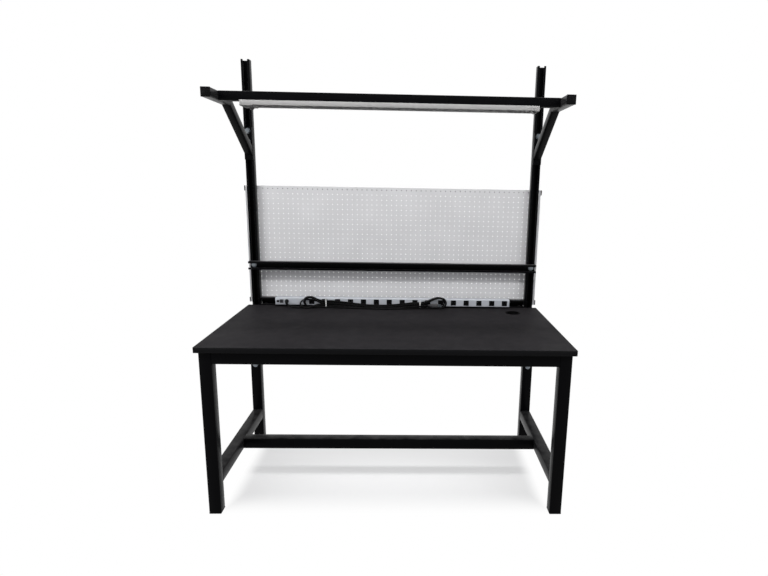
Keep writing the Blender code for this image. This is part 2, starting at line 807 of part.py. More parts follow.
def build_frame():
    """The legs with their caps, the aprons and the stretchers."""
    leg_length = LEG_TOP - LEG_CAP_THICKNESS - CLEARANCE
    leg = square_tube(LEG_SIZE, LEG_WALL, leg_length)
    leg_height = LEG_TOP - leg_length / 2
    rows = (("front", LEGS_FRONT + LEG_SIZE / 2), ("rear", LEGS_REAR - LEG_SIZE / 2))
    bolt_holes = holes(
        BOLT_DIAMETER + 2 * CLEARANCE,
        LEG_SIZE + OVERRUN,
        upright_bolt_places(LEGS_REAR).values(),
    )
    cap = tube_plug(
        LEG_SIZE,
        LEG_CAP_THICKNESS,
        LEG_SIZE - 2 * LEG_WALL - 2 * CLEARANCE,
        LEG_CAP_PLUG_LENGTH,
        LEG_CAP_ROUNDING,
    )
    for row, y in rows:
        for side, sign in SIDES:
            post = part(
                f"leg_{row}_{side}", leg.copy(), "powder_coat", at(sign * LEG_X, y, leg_height)
            )
            if row == "rear":
                cut(post, bolt_holes)
            place = at(sign * LEG_X, y, LEG_CAP_THICKNESS)
            part(f"leg_cap_{row}_{side}", cap.copy(), "black_plastic", place)

    long_span = 2 * LEG_X - LEG_SIZE - 2 * CLEARANCE
    side_span = LEGS_REAR - LEGS_FRONT - 2 * LEG_SIZE - 2 * CLEARANCE
    apron_x = LEG_X + LEG_SIZE / 2 - APRON_THICKNESS / 2
    long_apron = square_tube(APRON_HEIGHT, APRON_WALL, long_span, APRON_THICKNESS)
    side_apron = square_tube(APRON_THICKNESS, APRON_WALL, side_span, APRON_HEIGHT)
    for name, y in (
        ("apron_front", LEGS_FRONT + APRON_THICKNESS / 2),
        ("apron_rear", LEGS_REAR - APRON_THICKNESS / 2),
    ):
        place = at(0, y, APRON_MIDDLE_HEIGHT, ALONG_X)
        part(name, long_apron.copy(), "powder_coat", place)
    stretcher = square_tube(STRETCHER_SIZE, STRETCHER_WALL, side_span)
    for side, sign in SIDES:
        place = at(sign * apron_x, WORKTOP_MIDDLE, APRON_MIDDLE_HEIGHT, ALONG_Y)
        part(f"apron_{side}", side_apron.copy(), "powder_coat", place)
        place = at(sign * LEG_X, WORKTOP_MIDDLE, STRETCHER_MIDDLE_HEIGHT, ALONG_Y)
        part(f"side_stretcher_{side}", stretcher.copy(), "powder_coat", place)
    cross_span = 2 * LEG_X - STRETCHER_SIZE - 2 * CLEARANCE
    part(
        "cross_stretcher",
        square_tube(STRETCHER_SIZE, STRETCHER_WALL, cross_span),
        "powder_coat",
        at(0, WORKTOP_MIDDLE, STRETCHER_MIDDLE_HEIGHT, ALONG_X),
    )


def upright_bolt_places(y):
    """The places of the four bolts that hold the uprights to the rear legs."""
    low = UPRIGHT_FOOT_HEIGHT + UPRIGHT_BOLT_FROM_FOOT
    return {
        f"upright_bolt_{row}_{side}": at(sign * UPRIGHT_X, y, height, HEAD_TO_FRONT)
        for side, sign in SIDES
        for row, height in (("low", low), ("high", low + UPRIGHT_BOLT_SPACING))
    }


def pegboard_bolt_places(y, height):
    """The places of the two bolts that hold a pegboard rail to the uprights."""
    return [at(sign * UPRIGHT_X, y, height, HEAD_TO_FRONT) for _, sign in SIDES]


def pegboard_bolt_heights():
    """The heights of the bolts through the pegboard's lower and upper rail."""
    low = PEGBOARD_UNDERSIDE_HEIGHT + PEGBOARD_RAIL_HEIGHT / 2
    high = PEGBOARD_TOP - PEGBOARD_RAIL_HEIGHT / 2
    return low, high


def bracket_bolt_places(sign):
    """The bolts of a corner bracket: sideways into an upright, and up into the rail."""
    middle = UPRIGHT_FRONT + STRUT_SIZE / 2
    reach = (BRACKET_LEG + BRACKET_THICKNESS) / 2
    under = BOTTOM_RAIL_CENTRE_HEIGHT - STRUT_SIZE / 2 - CLEARANCE - BRACKET_THICKNESS
    beside = UPRIGHT_X - STRUT_SIZE / 2 - CLEARANCE - BRACKET_THICKNESS
    sideways = at(
        sign * beside,
        middle,
        under + BRACKET_THICKNESS - reach,
        HEAD_TO_LEFT if sign > 0 else HEAD_TO_RIGHT,
    )
    upward = at(sign * (beside + BRACKET_THICKNESS - reach), middle, under, HEAD_DOWN)
    return [sideways, upward]


def build_uprights():
    """The strut uprights and the bolts that hold them to the rear legs."""
    channel = strut(UPRIGHT_LENGTH)
    height = UPRIGHT_FOOT_HEIGHT + UPRIGHT_LENGTH / 2
    web = UPRIGHT_REAR - STRUT_WALL / 2
    bore = SMALL_BOLT_DIAMETER + 2 * CLEARANCE
    through_web = [
        place for z in pegboard_bolt_heights() for place in pegboard_bolt_places(web, z)
    ]
    web_holes = holes(bore, STRUT_WALL + CLEARANCE, through_web)
    reach = BRACKET_THICKNESS + STRUT_WALL + 4 * CLEARANCE
    for side, sign in SIDES:
        post = part(
            f"upright_{side}",
            channel.copy(),
            "powder_coat",
            at(sign * UPRIGHT_X, UPRIGHT_FRONT, height),
        )
        cut(post, web_holes)
        cut(post, holes(bore, reach, bracket_bolt_places(sign)))

    gap = UPRIGHT_FRONT - LEGS_REAR
    bolt = clamp_bolt(LEG_SIZE + gap + CLEARANCE, (CLEARANCE - gap, -CLEARANCE))
    for name, place in upright_bolt_places(UPRIGHT_FRONT).items():
        part(name, bolt.copy(), "zinc", Matrix.Translation(place.translation))


def build_bottom_rail():
    """The fixed rail between the uprights, with its corner brackets and bolts."""
    length = 2 * UPRIGHT_X - STRUT_SIZE - 2 * CLEARANCE
    rail = part(
        "bottom_rail",
        strut(length),
        "powder_coat",
        at(0, UPRIGHT_FRONT, BOTTOM_RAIL_CENTRE_HEIGHT, ALONG_X),
    )
    bore = SMALL_BOLT_DIAMETER + 2 * CLEARANCE
    grip = BRACKET_THICKNESS + STRUT_WALL + CLEARANCE
    angle = extruded(
        [angle_outline(BRACKET_LEG, BRACKET_THICKNESS, BRACKET_INNER_RADIUS)], BRACKET_WIDTH
    )
    stand = Matrix.Rotation(math.radians(-90), 4, "X")
    corner = UPRIGHT_X - STRUT_SIZE / 2 - CLEARANCE
    middle = UPRIGHT_FRONT + STRUT_SIZE / 2
    under = BOTTOM_RAIL_CENTRE_HEIGHT - STRUT_SIZE / 2 - CLEARANCE
    for side, sign in SIDES:
        places = bracket_bolt_places(sign)
        cut(rail, holes(bore, grip + CLEARANCE, places))
        spin = Matrix.Rotation(math.radians(180), 4, "Z") if sign > 0 else Matrix()
        bracket = moved(angle.copy(), at(sign * corner, middle, under, spin @ stand))
        for place in places:
            bolt = small_bolt(grip + CLEARANCE)
            bracket = joined(bracket, moved(bolt, place @ at(0, 0, -CLEARANCE / 2)))
        part(f"rail_bracket_{side}", bracket, "zinc")


def build_pegboard():
    """The pegboard panel, and the angle rails behind its long edges with their bolts."""
    middle = PEGBOARD_UNDERSIDE_HEIGHT + PEGBOARD_HEIGHT / 2
    panel = part(
        "pegboard_panel",
        block(PEGBOARD_WIDTH, PEGBOARD_THICKNESS, PEGBOARD_HEIGHT),
        "pegboard_paint",
        at(0, (PANEL_FRONT + PANEL_REAR) / 2, middle),
    )
    corners = [
        (0, 0),
        (PEGBOARD_RAIL_DEPTH, 0),
        (PEGBOARD_RAIL_DEPTH, PEGBOARD_RAIL_WALL),
        (PEGBOARD_RAIL_WALL, PEGBOARD_RAIL_WALL),
        (PEGBOARD_RAIL_WALL, PEGBOARD_RAIL_HEIGHT),
        (0, PEGBOARD_RAIL_HEIGHT),
    ]
    angle = extruded(
        [filleted(corners, [PEGBOARD_RAIL_WALL, 0, 0, 0, 0, 0])],
        PEGBOARD_WIDTH + 2 * PEGBOARD_RAIL_OVERHANG,
    )
    head_face = UPRIGHT_REAR - STRUT_WALL - CLEARANCE
    grip = PEGBOARD_RAIL_FRONT + PEGBOARD_RAIL_WALL / 2 - head_face
    bore = SMALL_BOLT_DIAMETER + 2 * CLEARANCE
    low, high = pegboard_bolt_heights()
    for name, edge, height, turn in (
        ("pegboard_rail_bottom", PEGBOARD_UNDERSIDE_HEIGHT, low, ACROSS),
        ("pegboard_rail_top", PEGBOARD_TOP, high, UPSIDE_DOWN @ ACROSS),
    ):
        rail = moved(angle.copy(), at(0, PEGBOARD_RAIL_FRONT, edge, turn))
        places = pegboard_bolt_places(head_face, height)
        for place in places:
            rail = joined(rail, moved(small_bolt(grip), place))
        part(name, rail, "powder_coat")
        cut(panel, holes(bore, grip, places))


def build_accessory_rail():
    """The rail that slides up and down the uprights, with its bolts and nuts."""
    rear = UPRIGHT_FRONT - CLEARANCE
    front = rear - STRUT_SIZE
    rail = part(
        "accessory_rail",
        strut(2 * UPRIGHT_X + STRUT_SIZE),
        "powder_coat",
        at(0, front, ACCESSORY_RAIL_CENTRE_HEIGHT, ALONG_X),
    )
    bore = BOLT_DIAMETER + 2 * CLEARANCE
    grip = CLEARANCE + STRUT_WALL + CLEARANCE
    bolt = clamp_bolt(grip)
    faces = {
        side: at(sign * UPRIGHT_X, UPRIGHT_FRONT, ACCESSORY_RAIL_CENTRE_HEIGHT)
        for side, sign in SIDES
    }
    drilled = [face @ HEAD_TO_FRONT for face in faces.values()]
    cut(rail, holes(bore, grip + CLEARANCE, drilled))
    for side, face in faces.items():
        part(f"accessory_rail_bolt_{side}", bolt.copy(), "zinc", face)


def build_overhead_frame():
    """The arms, braces, mounting plates and crossbar, with their bolts and nuts."""
    angle = math.atan2(BRACE_DROP, BRACE_REACH)
    face_length = math.hypot(BRACE_DROP, BRACE_REACH)
    foot_height = ARM_UNDERSIDE_HEIGHT - BRACE_DROP
    joint = (UPRIGHT_FRONT - BRACE_REACH, ARM_UNDERSIDE_HEIGHT)
    far = 3 * OVERHEAD_TUBE_SIZE

    arm_start = ARM_FRONT + ARM_CAP_THICKNESS + CLEARANCE
    arm_length = joint[0] + OVERHEAD_TUBE_SIZE - arm_start
    arm = square_tube(OVERHEAD_TUBE_SIZE, OVERHEAD_TUBE_WALL, arm_length)
    brace = square_tube(
        OVERHEAD_TUBE_SIZE, OVERHEAD_TUBE_WALL, face_length + 2 * OVERHEAD_TUBE_SIZE
    )
    mitre_turn = Matrix.Rotation(-angle / 2, 4, "X")
    behind_mitre = Matrix.Translation((0, far / 2 - CLEARANCE / 2, 0))
    before_mitre = Matrix.Translation((0, -far / 2 + CLEARANCE / 2, 0))
    cube = block(far, far, far)
    brace_middle = (
        UPRIGHT_FRONT - BRACE_REACH / 2 + math.sin(angle) * OVERHEAD_TUBE_SIZE / 2,
        ARM_UNDERSIDE_HEIGHT - BRACE_DROP / 2 + math.cos(angle) * OVERHEAD_TUBE_SIZE / 2,
    )
    brace_turn = Matrix.Rotation(math.radians(-90) - angle, 4, "X")
    plate_middle = (PLATE_FRONT + PLATE_REAR) / 2
    plate = extruded(
        [rectangle(PLATE_WIDTH, PLATE_LENGTH, PLATE_CORNER_RADIUS)], PLATE_THICKNESS
    )
    bolt = clamp_bolt(CLEARANCE + PLATE_THICKNESS + CLEARANCE)
    bore = BOLT_DIAMETER + 2 * CLEARANCE
    top_bolt = PLATE_TOP - PLATE_BOLT_FROM_TOP
    heights = {"high": top_bolt, "low": top_bolt - PLATE_BOLT_SPACING}
    cap = tube_plug(
        OVERHEAD_TUBE_SIZE,
        ARM_CAP_THICKNESS,
        OVERHEAD_TUBE_SIZE - 2 * OVERHEAD_TUBE_WALL - 2 * CLEARANCE,
        ARM_CAP_PLUG_LENGTH,
        ARM_CAP_THICKNESS / 4,
    )
    for side, sign in SIDES:
        x = sign * UPRIGHT_X
        mitre = at(x, *joint, mitre_turn)
        beam = part(
            f"arm_{side}",
            arm.copy(),
            "powder_coat",
            at(x, arm_start + arm_length / 2, ARM_MIDDLE_HEIGHT, ALONG_Y),
        )
        cut(beam, cutter(cube, mitre @ behind_mitre))
        tube = moved(brace.copy(), at(x, *brace_middle, brace_turn))
        behind_plate = at(x, PLATE_FRONT + PLATE_THICKNESS / 2 + far / 2, foot_height)
        tube = hollowed(tube, moved(cube.copy(), behind_plate))
        tube = hollowed(tube, moved(cube.copy(), mitre @ before_mitre))
        pad = moved(
            plate.copy(), at(x, plate_middle, PLATE_TOP - PLATE_LENGTH / 2, HEAD_TO_FRONT)
        )
        strutting = part(f"brace_{side}", joined(tube, pad), "powder_coat")
        places = [at(x, PLATE_FRONT, height, HEAD_TO_FRONT) for height in heights.values()]
        cut(strutting, holes(bore, PLATE_THICKNESS + OVERRUN, places))
        for row, height in heights.items():
            place = at(x, UPRIGHT_FRONT, height)
            part(f"overhead_bolt_{row}_{side}", bolt.copy(), "zinc", place)
        end = at(x, ARM_FRONT + ARM_CAP_THICKNESS, ARM_MIDDLE_HEIGHT, ALONG_Y)
        part(f"arm_cap_{side}", cap.copy(), "black_plastic", end)

    span = 2 * UPRIGHT_X - OVERHEAD_TUBE_SIZE - 2 * CLEARANCE
    part(
        "crossbar",
        square_tube(OVERHEAD_TUBE_SIZE, OVERHEAD_TUBE_WALL, span),
        "powder_coat",
        at(0, CROSSBAR_MIDDLE, ARM_MIDDLE_HEIGHT, ALONG_X),
    )


def bowed_outline(width, drop):
    """The points of a shallow arc below a chord, from its right end to its left end."""
    radius = (width**2 / 4 + drop**2) / (2 * drop)
    sweep = math.asin(width / 2 / radius)
    steps = 8
    return [
        (
            radius * math.sin(sweep * (1 - 2 * step / steps)),
            (radius - drop) - radius * math.cos(sweep * (1 - 2 * step / steps)),
        )
        for step in range(steps + 1)
    ]


def build_light():
    """The light's housing, diffuser, end caps, screws and push button."""
    left_inner = LIGHT_LEFT + LIGHT_SWITCH_BOX_LENGTH
    right_inner = -LIGHT_LEFT - LIGHT_END_CAP_LENGTH
    body_length = right_inner - left_inner - 2 * CLEARANCE
    body_middle = (left_inner + right_inner) / 2

    half = [
        (LIGHT_DEPTH / 2 - LIGHT_LIP, -LIGHT_SKIRT + LIGHT_SHEET),
        (LIGHT_DEPTH / 2 - LIGHT_LIP, -LIGHT_SKIRT),
        (LIGHT_DEPTH / 2, -LIGHT_SKIRT),
        (LIGHT_DEPTH / 2, LIGHT_SHEET),
    ]
    inner = [
        (LIGHT_DEPTH / 2 - LIGHT_SHEET, 0),
        (LIGHT_DEPTH / 2 - LIGHT_SHEET, -LIGHT_SKIRT + LIGHT_SHEET),
    ]
    outline = half + [(-x, y) for x, y in reversed(half)]
    outline += [(-x, y) for x, y in reversed(inner)] + inner
    radii = [0] * len(outline)
    for index in (2, 3, 4, 5):
        radii[index] = LIGHT_SHEET
    part(
        "light_housing",
        extruded([filleted(outline, radii)], body_length),
        "light_paint",
        at(body_middle, CROSSBAR_MIDDLE, LIGHT_TOP - LIGHT_SHEET, ACROSS),
    )
    rim = LIGHT_DEPTH / 2 - LIGHT_SHEET - CLEARANCE
    waist = LIGHT_DEPTH / 2 - LIGHT_LIP - CLEARANCE
    rest = CLEARANCE + LIGHT_SHEET
    bow = bowed_outline(2 * waist, DIFFUSER_BOW)
    inner_bow = bowed_outline(2 * (waist - DIFFUSER_WALL), DIFFUSER_BOW)
    lens = [(rim, rest + DIFFUSER_RIM), (rim, rest), (waist, rest)]
    lens += bow
    lens += [(-waist, rest), (-rim, rest), (-rim, rest + DIFFUSER_RIM)]
    lens += [(x, y + DIFFUSER_WALL) for x, y in reversed(inner_bow)]
    part(
        "light_diffuser",
        extruded([lens], body_length),
        "diffuser_acrylic",
        at(body_middle, CROSSBAR_MIDDLE, LIGHT_UNDERSIDE, ACROSS),
    )

    drop = LIGHT_HEIGHT / 2 + DIFFUSER_BOW
    cap_outline = filleted(
        [
            (-LIGHT_DEPTH / 2, LIGHT_HEIGHT / 2),
            (-LIGHT_DEPTH / 2, -drop),
            (LIGHT_DEPTH / 2, -drop),
            (LIGHT_DEPTH / 2, LIGHT_HEIGHT / 2),
        ],
        [LIGHT_SHEET, LIGHT_CORNER_RADIUS, LIGHT_CORNER_RADIUS, LIGHT_SHEET],
    )
    middle_height = LIGHT_TOP - LIGHT_HEIGHT / 2
    for side, length, middle in (
        ("left", LIGHT_SWITCH_BOX_LENGTH, LIGHT_LEFT + LIGHT_SWITCH_BOX_LENGTH / 2),
        ("right", LIGHT_END_CAP_LENGTH, -LIGHT_LEFT - LIGHT_END_CAP_LENGTH / 2),
    ):
        end_cap = extruded([cap_outline], length)
        end_cap.transform(at(middle, CROSSBAR_MIDDLE, middle_height, ACROSS))
        if side == "left":
            end_cap = with_switch_collar(end_cap)
        part(f"light_end_cap_{side}", end_cap, "light_paint")

    tip = -SWITCH_COLLAR_HEIGHT - LIGHT_BUTTON_STANDOUT
    radius = LIGHT_BUTTON_DIAMETER / 2
    rounding = LIGHT_BUTTON_STANDOUT / 4
    button = turned(
        [
            (0, LIGHT_BUTTON_SEAT_DEPTH),
            (radius, LIGHT_BUTTON_SEAT_DEPTH),
            (radius, tip + rounding),
            (radius - rounding, tip),
            (0, tip),
        ],
        2 * SMALL_ROUND,
    )
    part("light_button", button, "black_plastic", light_button_place())


def light_button_place():
    """The middle of the light's button, on the underside of the left end cap."""
    return at(
        LIGHT_LEFT + LIGHT_BUTTON_FROM_END,
        CROSSBAR_MIDDLE + LIGHT_BUTTON_BEHIND_MIDDLE,
        LIGHT_UNDERSIDE - DIFFUSER_BOW,
    )


def with_switch_collar(end_cap):
    """The light's left end cap with the collar and the seat of its button."""
    bore = LIGHT_BUTTON_DIAMETER + 2 * CLEARANCE
    depth = LIGHT_BUTTON_SEAT_DEPTH + LIGHT_BUTTON_TRAVEL + CLEARANCE
    rounding = SWITCH_COLLAR_HEIGHT / 4
    radius = SWITCH_COLLAR_DIAMETER / 2
    collar = turned(
        [
            (0, SWITCH_COLLAR_HEIGHT),
            (radius, SWITCH_COLLAR_HEIGHT),
            (radius, rounding - SWITCH_COLLAR_HEIGHT),
            (radius - rounding, -SWITCH_COLLAR_HEIGHT),
            (0, -SWITCH_COLLAR_HEIGHT),
        ],
        2 * SMALL_ROUND,
    )
    seat = rod(bore, -SWITCH_COLLAR_HEIGHT - OVERRUN, depth, 2 * SMALL_ROUND)
    place = light_button_place()
    return hollowed(joined(end_cap, moved(collar, place)), moved(seat, place))


def build_power_strip():
    """The strip's housing with its outlets, and its end caps."""
    outside = rectangle(STRIP_HEIGHT, STRIP_DEPTH, STRIP_CORNER_RADIUS)
    inside = rectangle(STRIP_HEIGHT - 2 * STRIP_SHEET, STRIP_DEPTH - 2 * STRIP_SHEET)
    body_length = STRIP_LENGTH - 2 * (STRIP_CAP_THICKNESS + CLEARANCE)
    middle = (STRIP_FRONT + STRIP_REAR) / 2
    tube = extruded([outside, inside], body_length)
    tube.transform(at(0, middle, STRIP_CENTRE_HEIGHT, ALONG_X))

    front = at(0, STRIP_FRONT, STRIP_CENTRE_HEIGHT)
    last = STRIP_RIGHT - OUTLET_FROM_RIGHT_END
    body, slots = outlet_body(), outlet_slots()
    places = [front @ at(last - index * OUTLET_PITCH, 0, 0) for index in range(OUTLET_COUNT)]
    tube = joined(tube, gathered([(body, place) for place in places]))
    tube = hollowed(tube, gathered([(slots, place) for place in places]))

    controls = [
        STRIP_LEFT + setback
        for setback in (RESET_FROM_LEFT_END, ROCKER_FROM_LEFT_END, GLAND_FROM_LEFT_END)
    ]
    reset_x, rocker_x, gland_x = controls
    reach = 2 * STRIP_SHEET
    window = block(
        BEZEL_WIDTH - 2 * BEZEL_FLANGE + 2 * CLEARANCE,
        reach,
        BEZEL_HEIGHT - 2 * BEZEL_FLANGE + 2 * CLEARANCE,
    )
    openings = [
        (window, front @ at(rocker_x, 0, 0)),
        (
            rod(RESET_BODY_DIAMETER + 2 * CLEARANCE, -reach, reach),
            front @ at(reset_x, 0, 0, HEAD_TO_FRONT),
        ),
        (
            rod(GLAND_STEM_DIAMETER + 2 * CLEARANCE, -reach, reach),
            front @ at(gland_x, 0, 0, HEAD_TO_FRONT),
        ),
    ]
    part("strip_housing", hollowed(tube, gathered(openings)), "strip_aluminium")

    cap = joined(
        block(STRIP_HEIGHT, STRIP_DEPTH, STRIP_CAP_THICKNESS, (0, 0, -STRIP_CAP_THICKNESS / 2)),
        block(
            STRIP_HEIGHT - 2 * STRIP_SHEET - 2 * CLEARANCE,
            STRIP_DEPTH - 2 * STRIP_SHEET - 2 * CLEARANCE,
            STRIP_CAP_PLUG_LENGTH + STRIP_CAP_THICKNESS / 2,
            (0, 0, STRIP_CAP_PLUG_LENGTH / 2 - STRIP_CAP_THICKNESS / 4),
        ),
    )
    for side, sign in SIDES:
        x = sign * (STRIP_RIGHT - STRIP_CAP_THICKNESS)
        turn = HEAD_TO_RIGHT if sign < 0 else HEAD_TO_LEFT
        place = at(x, middle, STRIP_CENTRE_HEIGHT, turn)
        part(f"strip_end_cap_{side}", cap.copy(), "black_plastic", place)
    build_strip_controls(reset_x, rocker_x, gland_x)


def outlet_body():
    """One outlet, its back inside the strip and its face standing just proud at -Y."""
    face = block(OUTLET_FACE, OUTLET_STANDOUT + STRIP_SHEET / 2, OUTLET_FACE)
    middle = (STRIP_SHEET / 2 - OUTLET_STANDOUT) / 2
    depth = OUTLET_BODY_DEPTH - STRIP_SHEET / 4
    body = block(OUTLET_BODY, depth, OUTLET_BODY)
    return joined(
        moved(face, at(0, middle, 0)), moved(body, at(0, STRIP_SHEET / 4 + depth / 2, 0))
    )


def outlet_slots():
    """The two blade slots and the ground hole of one outlet."""
    blade = block(BLADE_SLOT_WIDTH, 2 * SLOT_DEPTH, BLADE_SLOT_HEIGHT)
    ground = rod(GROUND_HOLE_DIAMETER, -SLOT_DEPTH, SLOT_DEPTH, 8)
    half = BLADE_SLOT_SPACING / 2
    return gathered(
        [
            (blade, at(-half, 0, BLADE_SLOT_RISE)),
            (blade, at(half, 0, BLADE_SLOT_RISE)),
            (ground, at(0, 0, -GROUND_HOLE_DROP, HEAD_TO_FRONT)),
        ]
    )


def rocker_outline(width):
    """A rocker seen from above: a flat back and a face that dips between its raised ends."""
    pivot_depth = ROCKER_THICKNESS / 2
    end = -ROCKER_THICKNESS / 2
    half = width / 2
    dip = half * math.tan(ROCKER_TILT)
    return [
        (-half, end + ROCKER_END_STANDOUT / 4),
        (0, end + dip),
        (half, end + ROCKER_END_STANDOUT / 4),
        (half * 3 / 4, pivot_depth),
        (-half * 3 / 4, pivot_depth),
    ]


def build_strip_controls(reset_x, rocker_x, gland_x):
    """The reset button, the rocker switch and the cord's gland."""
    height = STRIP_CENTRE_HEIGHT
    face = STRIP_FRONT - CLEARANCE

    bore = RESET_BUTTON_DIAMETER + 2 * CLEARANCE
    body = turned(
        [
            (0, -RESET_SEAT_DEPTH),
            (bore / 2, -RESET_SEAT_DEPTH),
            (bore / 2, RESET_COLLAR_HEIGHT),
            (RESET_COLLAR_DIAMETER / 2 - CLEARANCE, RESET_COLLAR_HEIGHT),
            (RESET_COLLAR_DIAMETER / 2, CLEARANCE),
            (RESET_COLLAR_DIAMETER / 2, 0),
            (RESET_BODY_DIAMETER / 2, 0),
            (RESET_BODY_DIAMETER / 2, -RESET_SEAT_DEPTH - RESET_COLLAR_HEIGHT),
            (0, -RESET_SEAT_DEPTH - RESET_COLLAR_HEIGHT),
        ],
        2 * SMALL_ROUND,
    )
    part("reset_collar", body, "black_plastic", at(reset_x, face, height, HEAD_TO_FRONT))
    radius = RESET_BUTTON_DIAMETER / 2
    tip = RESET_COLLAR_HEIGHT + RESET_STANDOUT
    tail = -RESET_SEAT_DEPTH + RESET_TRAVEL + CLEARANCE
    rounding = RESET_BUTTON_DIAMETER / 8
    button = turned(
        [(0, tip), (radius - rounding, tip), (radius, tip - rounding), (radius, tail), (0, tail)],
        2 * SMALL_ROUND,
    )
    part("reset_button", button, "black_plastic", at(reset_x, face, height, HEAD_TO_FRONT))

    flange = rectangle(BEZEL_WIDTH, BEZEL_HEIGHT, BEZEL_FLANGE)
    throat = (BEZEL_WIDTH - 2 * BEZEL_RIM, BEZEL_HEIGHT - 2 * BEZEL_RIM)
    body_size = (BEZEL_WIDTH - 2 * BEZEL_FLANGE, BEZEL_HEIGHT - 2 * BEZEL_FLANGE)
    ring = extruded([flange], BEZEL_STANDOUT)
    ring.transform(Matrix.Translation((0, 0, BEZEL_STANDOUT / 2)))
    tail = block(*body_size, BEZEL_DEPTH, (0, 0, BEZEL_STANDOUT / 2 - BEZEL_DEPTH / 2))
    bezel = joined(ring, tail)
    bezel = hollowed(bezel, block(*throat, 4 * BEZEL_DEPTH))
    bezel.transform(at(rocker_x, face, height, HEAD_TO_FRONT))
    rocker_height = throat[1] - 2 * ROCKER_PLAY
    rocker = extruded([rocker_outline(throat[0] - 2 * ROCKER_PLAY)], rocker_height)
    pin_end = throat[1] / 2 + ROCKER_PIN_REACH
    rocker = joined(rocker, rod(ROCKER_PIN_DIAMETER, -pin_end, pin_end))
    pivot = face - BEZEL_STANDOUT / 2 + ROCKER_THICKNESS / 4
    pin_bore = rod(
        ROCKER_PIN_DIAMETER + 2 * CLEARANCE, -pin_end - CLEARANCE, pin_end + CLEARANCE
    )
    bezel = hollowed(bezel, moved(pin_bore, at(rocker_x, pivot, height)))
    part("switch_bezel", bezel, "black_plastic")
    tilt = Matrix.Rotation(-ROCKER_TILT, 4, "Z")
    part("rocker_switch", rocker, "black_plastic", at(rocker_x, pivot, height, tilt))

    build_gland(at(gland_x, face, height, HEAD_TO_FRONT))


def build_gland(place):
    """The cord's gland, with the tapered strain relief that follows the cord."""
    stem = GLAND_STEM_DIAMETER / 2
    radius = GLAND_DIAMETER / 2
    rounding = GLAND_COLLAR_HEIGHT / 4
    nose = GLAND_COLLAR_HEIGHT + GLAND_STEM_LENGTH
    tail = -2 * STRIP_SHEET - CLEARANCE
    body = turned(
        [
            (0, nose),
            (stem, nose),
            (stem, GLAND_COLLAR_HEIGHT),
            (radius - rounding, GLAND_COLLAR_HEIGHT),
            (radius, GLAND_COLLAR_HEIGHT - rounding),
            (radius, 0),
            (stem, 0),
            (stem, tail),
            (0, tail),
        ],
        2 * SMALL_ROUND,
    )
    line, _ = cord_lines()
    steps = len(line) - 1
    tapers = [
        BOOT_ROOT_DIAMETER + (BOOT_TIP_DIAMETER - BOOT_ROOT_DIAMETER) * step / steps
        for step in range(steps + 1)
    ]
    boot = cord_tube(line, tapers)
    part("cord_gland", joined(moved(body, place), boot), "black_plastic")


def cord_lines():
    """The lines of the strain relief and of the free cord, which meet end to end."""
    gland = Vector((STRIP_LEFT + GLAND_FROM_LEFT_END, STRIP_FRONT, STRIP_CENTRE_HEIGHT))
    route = [gland + Vector((right, -ahead, up)) for right, ahead, up in CORD_ROUTE]
    line = smooth_line(route, CORD_STEPS)
    last = BOOT_STRETCHES * CORD_STEPS
    middle = (line[last] + line[last + 1]) / 2
    half_gap = (line[last + 1] - line[last]).normalized() * CLEARANCE / 2
    return (
        [*line[: last + 1], middle - half_gap],
        [middle + half_gap, *line[last + 1 :]],
    )


def build_cord():
    """The cord's free stretch, its hank on the worktop, and its plug."""
    left = STRIP_LEFT + HANK_FROM_LEFT_END
    _, line = cord_lines()
    tube = cord_tube(line, [CORD_DIAMETER] * len(line))
    beyond = block(HANK_LENGTH, STRIP_DEPTH + HANK_LENGTH, HANK_LENGTH)
    beyond.transform(at(left - CLEARANCE + HANK_LENGTH / 2, STRIP_FRONT, WORKTOP_HEIGHT))
    part("cord", hollowed(tube, beyond), "cord_jacket")

    base = WORKTOP_HEIGHT + CLEARANCE
    middle = STRIP_FRONT - HANK_BEFORE_STRIP - HANK_THICKNESS / 2
    outline = [
        (0, 0),
        (HANK_LENGTH, 0),
        (HANK_LENGTH, HANK_HEIGHT),
        (HANK_LENGTH - HANK_RIGHT_LOOP, HANK_HEIGHT),
        (HANK_LENGTH - HANK_RIGHT_LOOP - HANK_SHOULDER, HANK_WAIST_HEIGHT),
        (HANK_LEFT_LOOP + HANK_SHOULDER, HANK_WAIST_HEIGHT),
        (HANK_LEFT_LOOP, HANK_HEIGHT),
        (0, HANK_HEIGHT),
    ]
    radii = [HANK_FOOT_RADIUS, HANK_FOOT_RADIUS, HANK_TOP_RADIUS]
    radii += [HANK_TOP_RADIUS] * 4 + [HANK_TOP_RADIUS]
    window_right = HANK_LENGTH - CORD_DIAMETER
    plug_length = PLUG_NECK_LENGTH + PLUG_LENGTH + BLADE_LENGTH
    window_length = CLEARANCE + plug_length + PLUG_FROM_WINDOW_END
    window = rectangle(
        window_length,
        PLUG_WINDOW_HEIGHT,
        middle=(window_right - window_length / 2, CORD_DIAMETER + PLUG_WINDOW_HEIGHT / 2),
    )
    part(
        "cord_hank",
        extruded([filleted(outline, radii, 4), window], HANK_THICKNESS),
        "cord_jacket",
        at(left, middle, base, HEAD_TO_FRONT),
    )
    plug_x = left + window_right - PLUG_FROM_WINDOW_END - BLADE_LENGTH
    plug_z = base + CORD_DIAMETER + CLEARANCE + PLUG_HEIGHT / 2
    build_plug(plug_x, middle, plug_z)


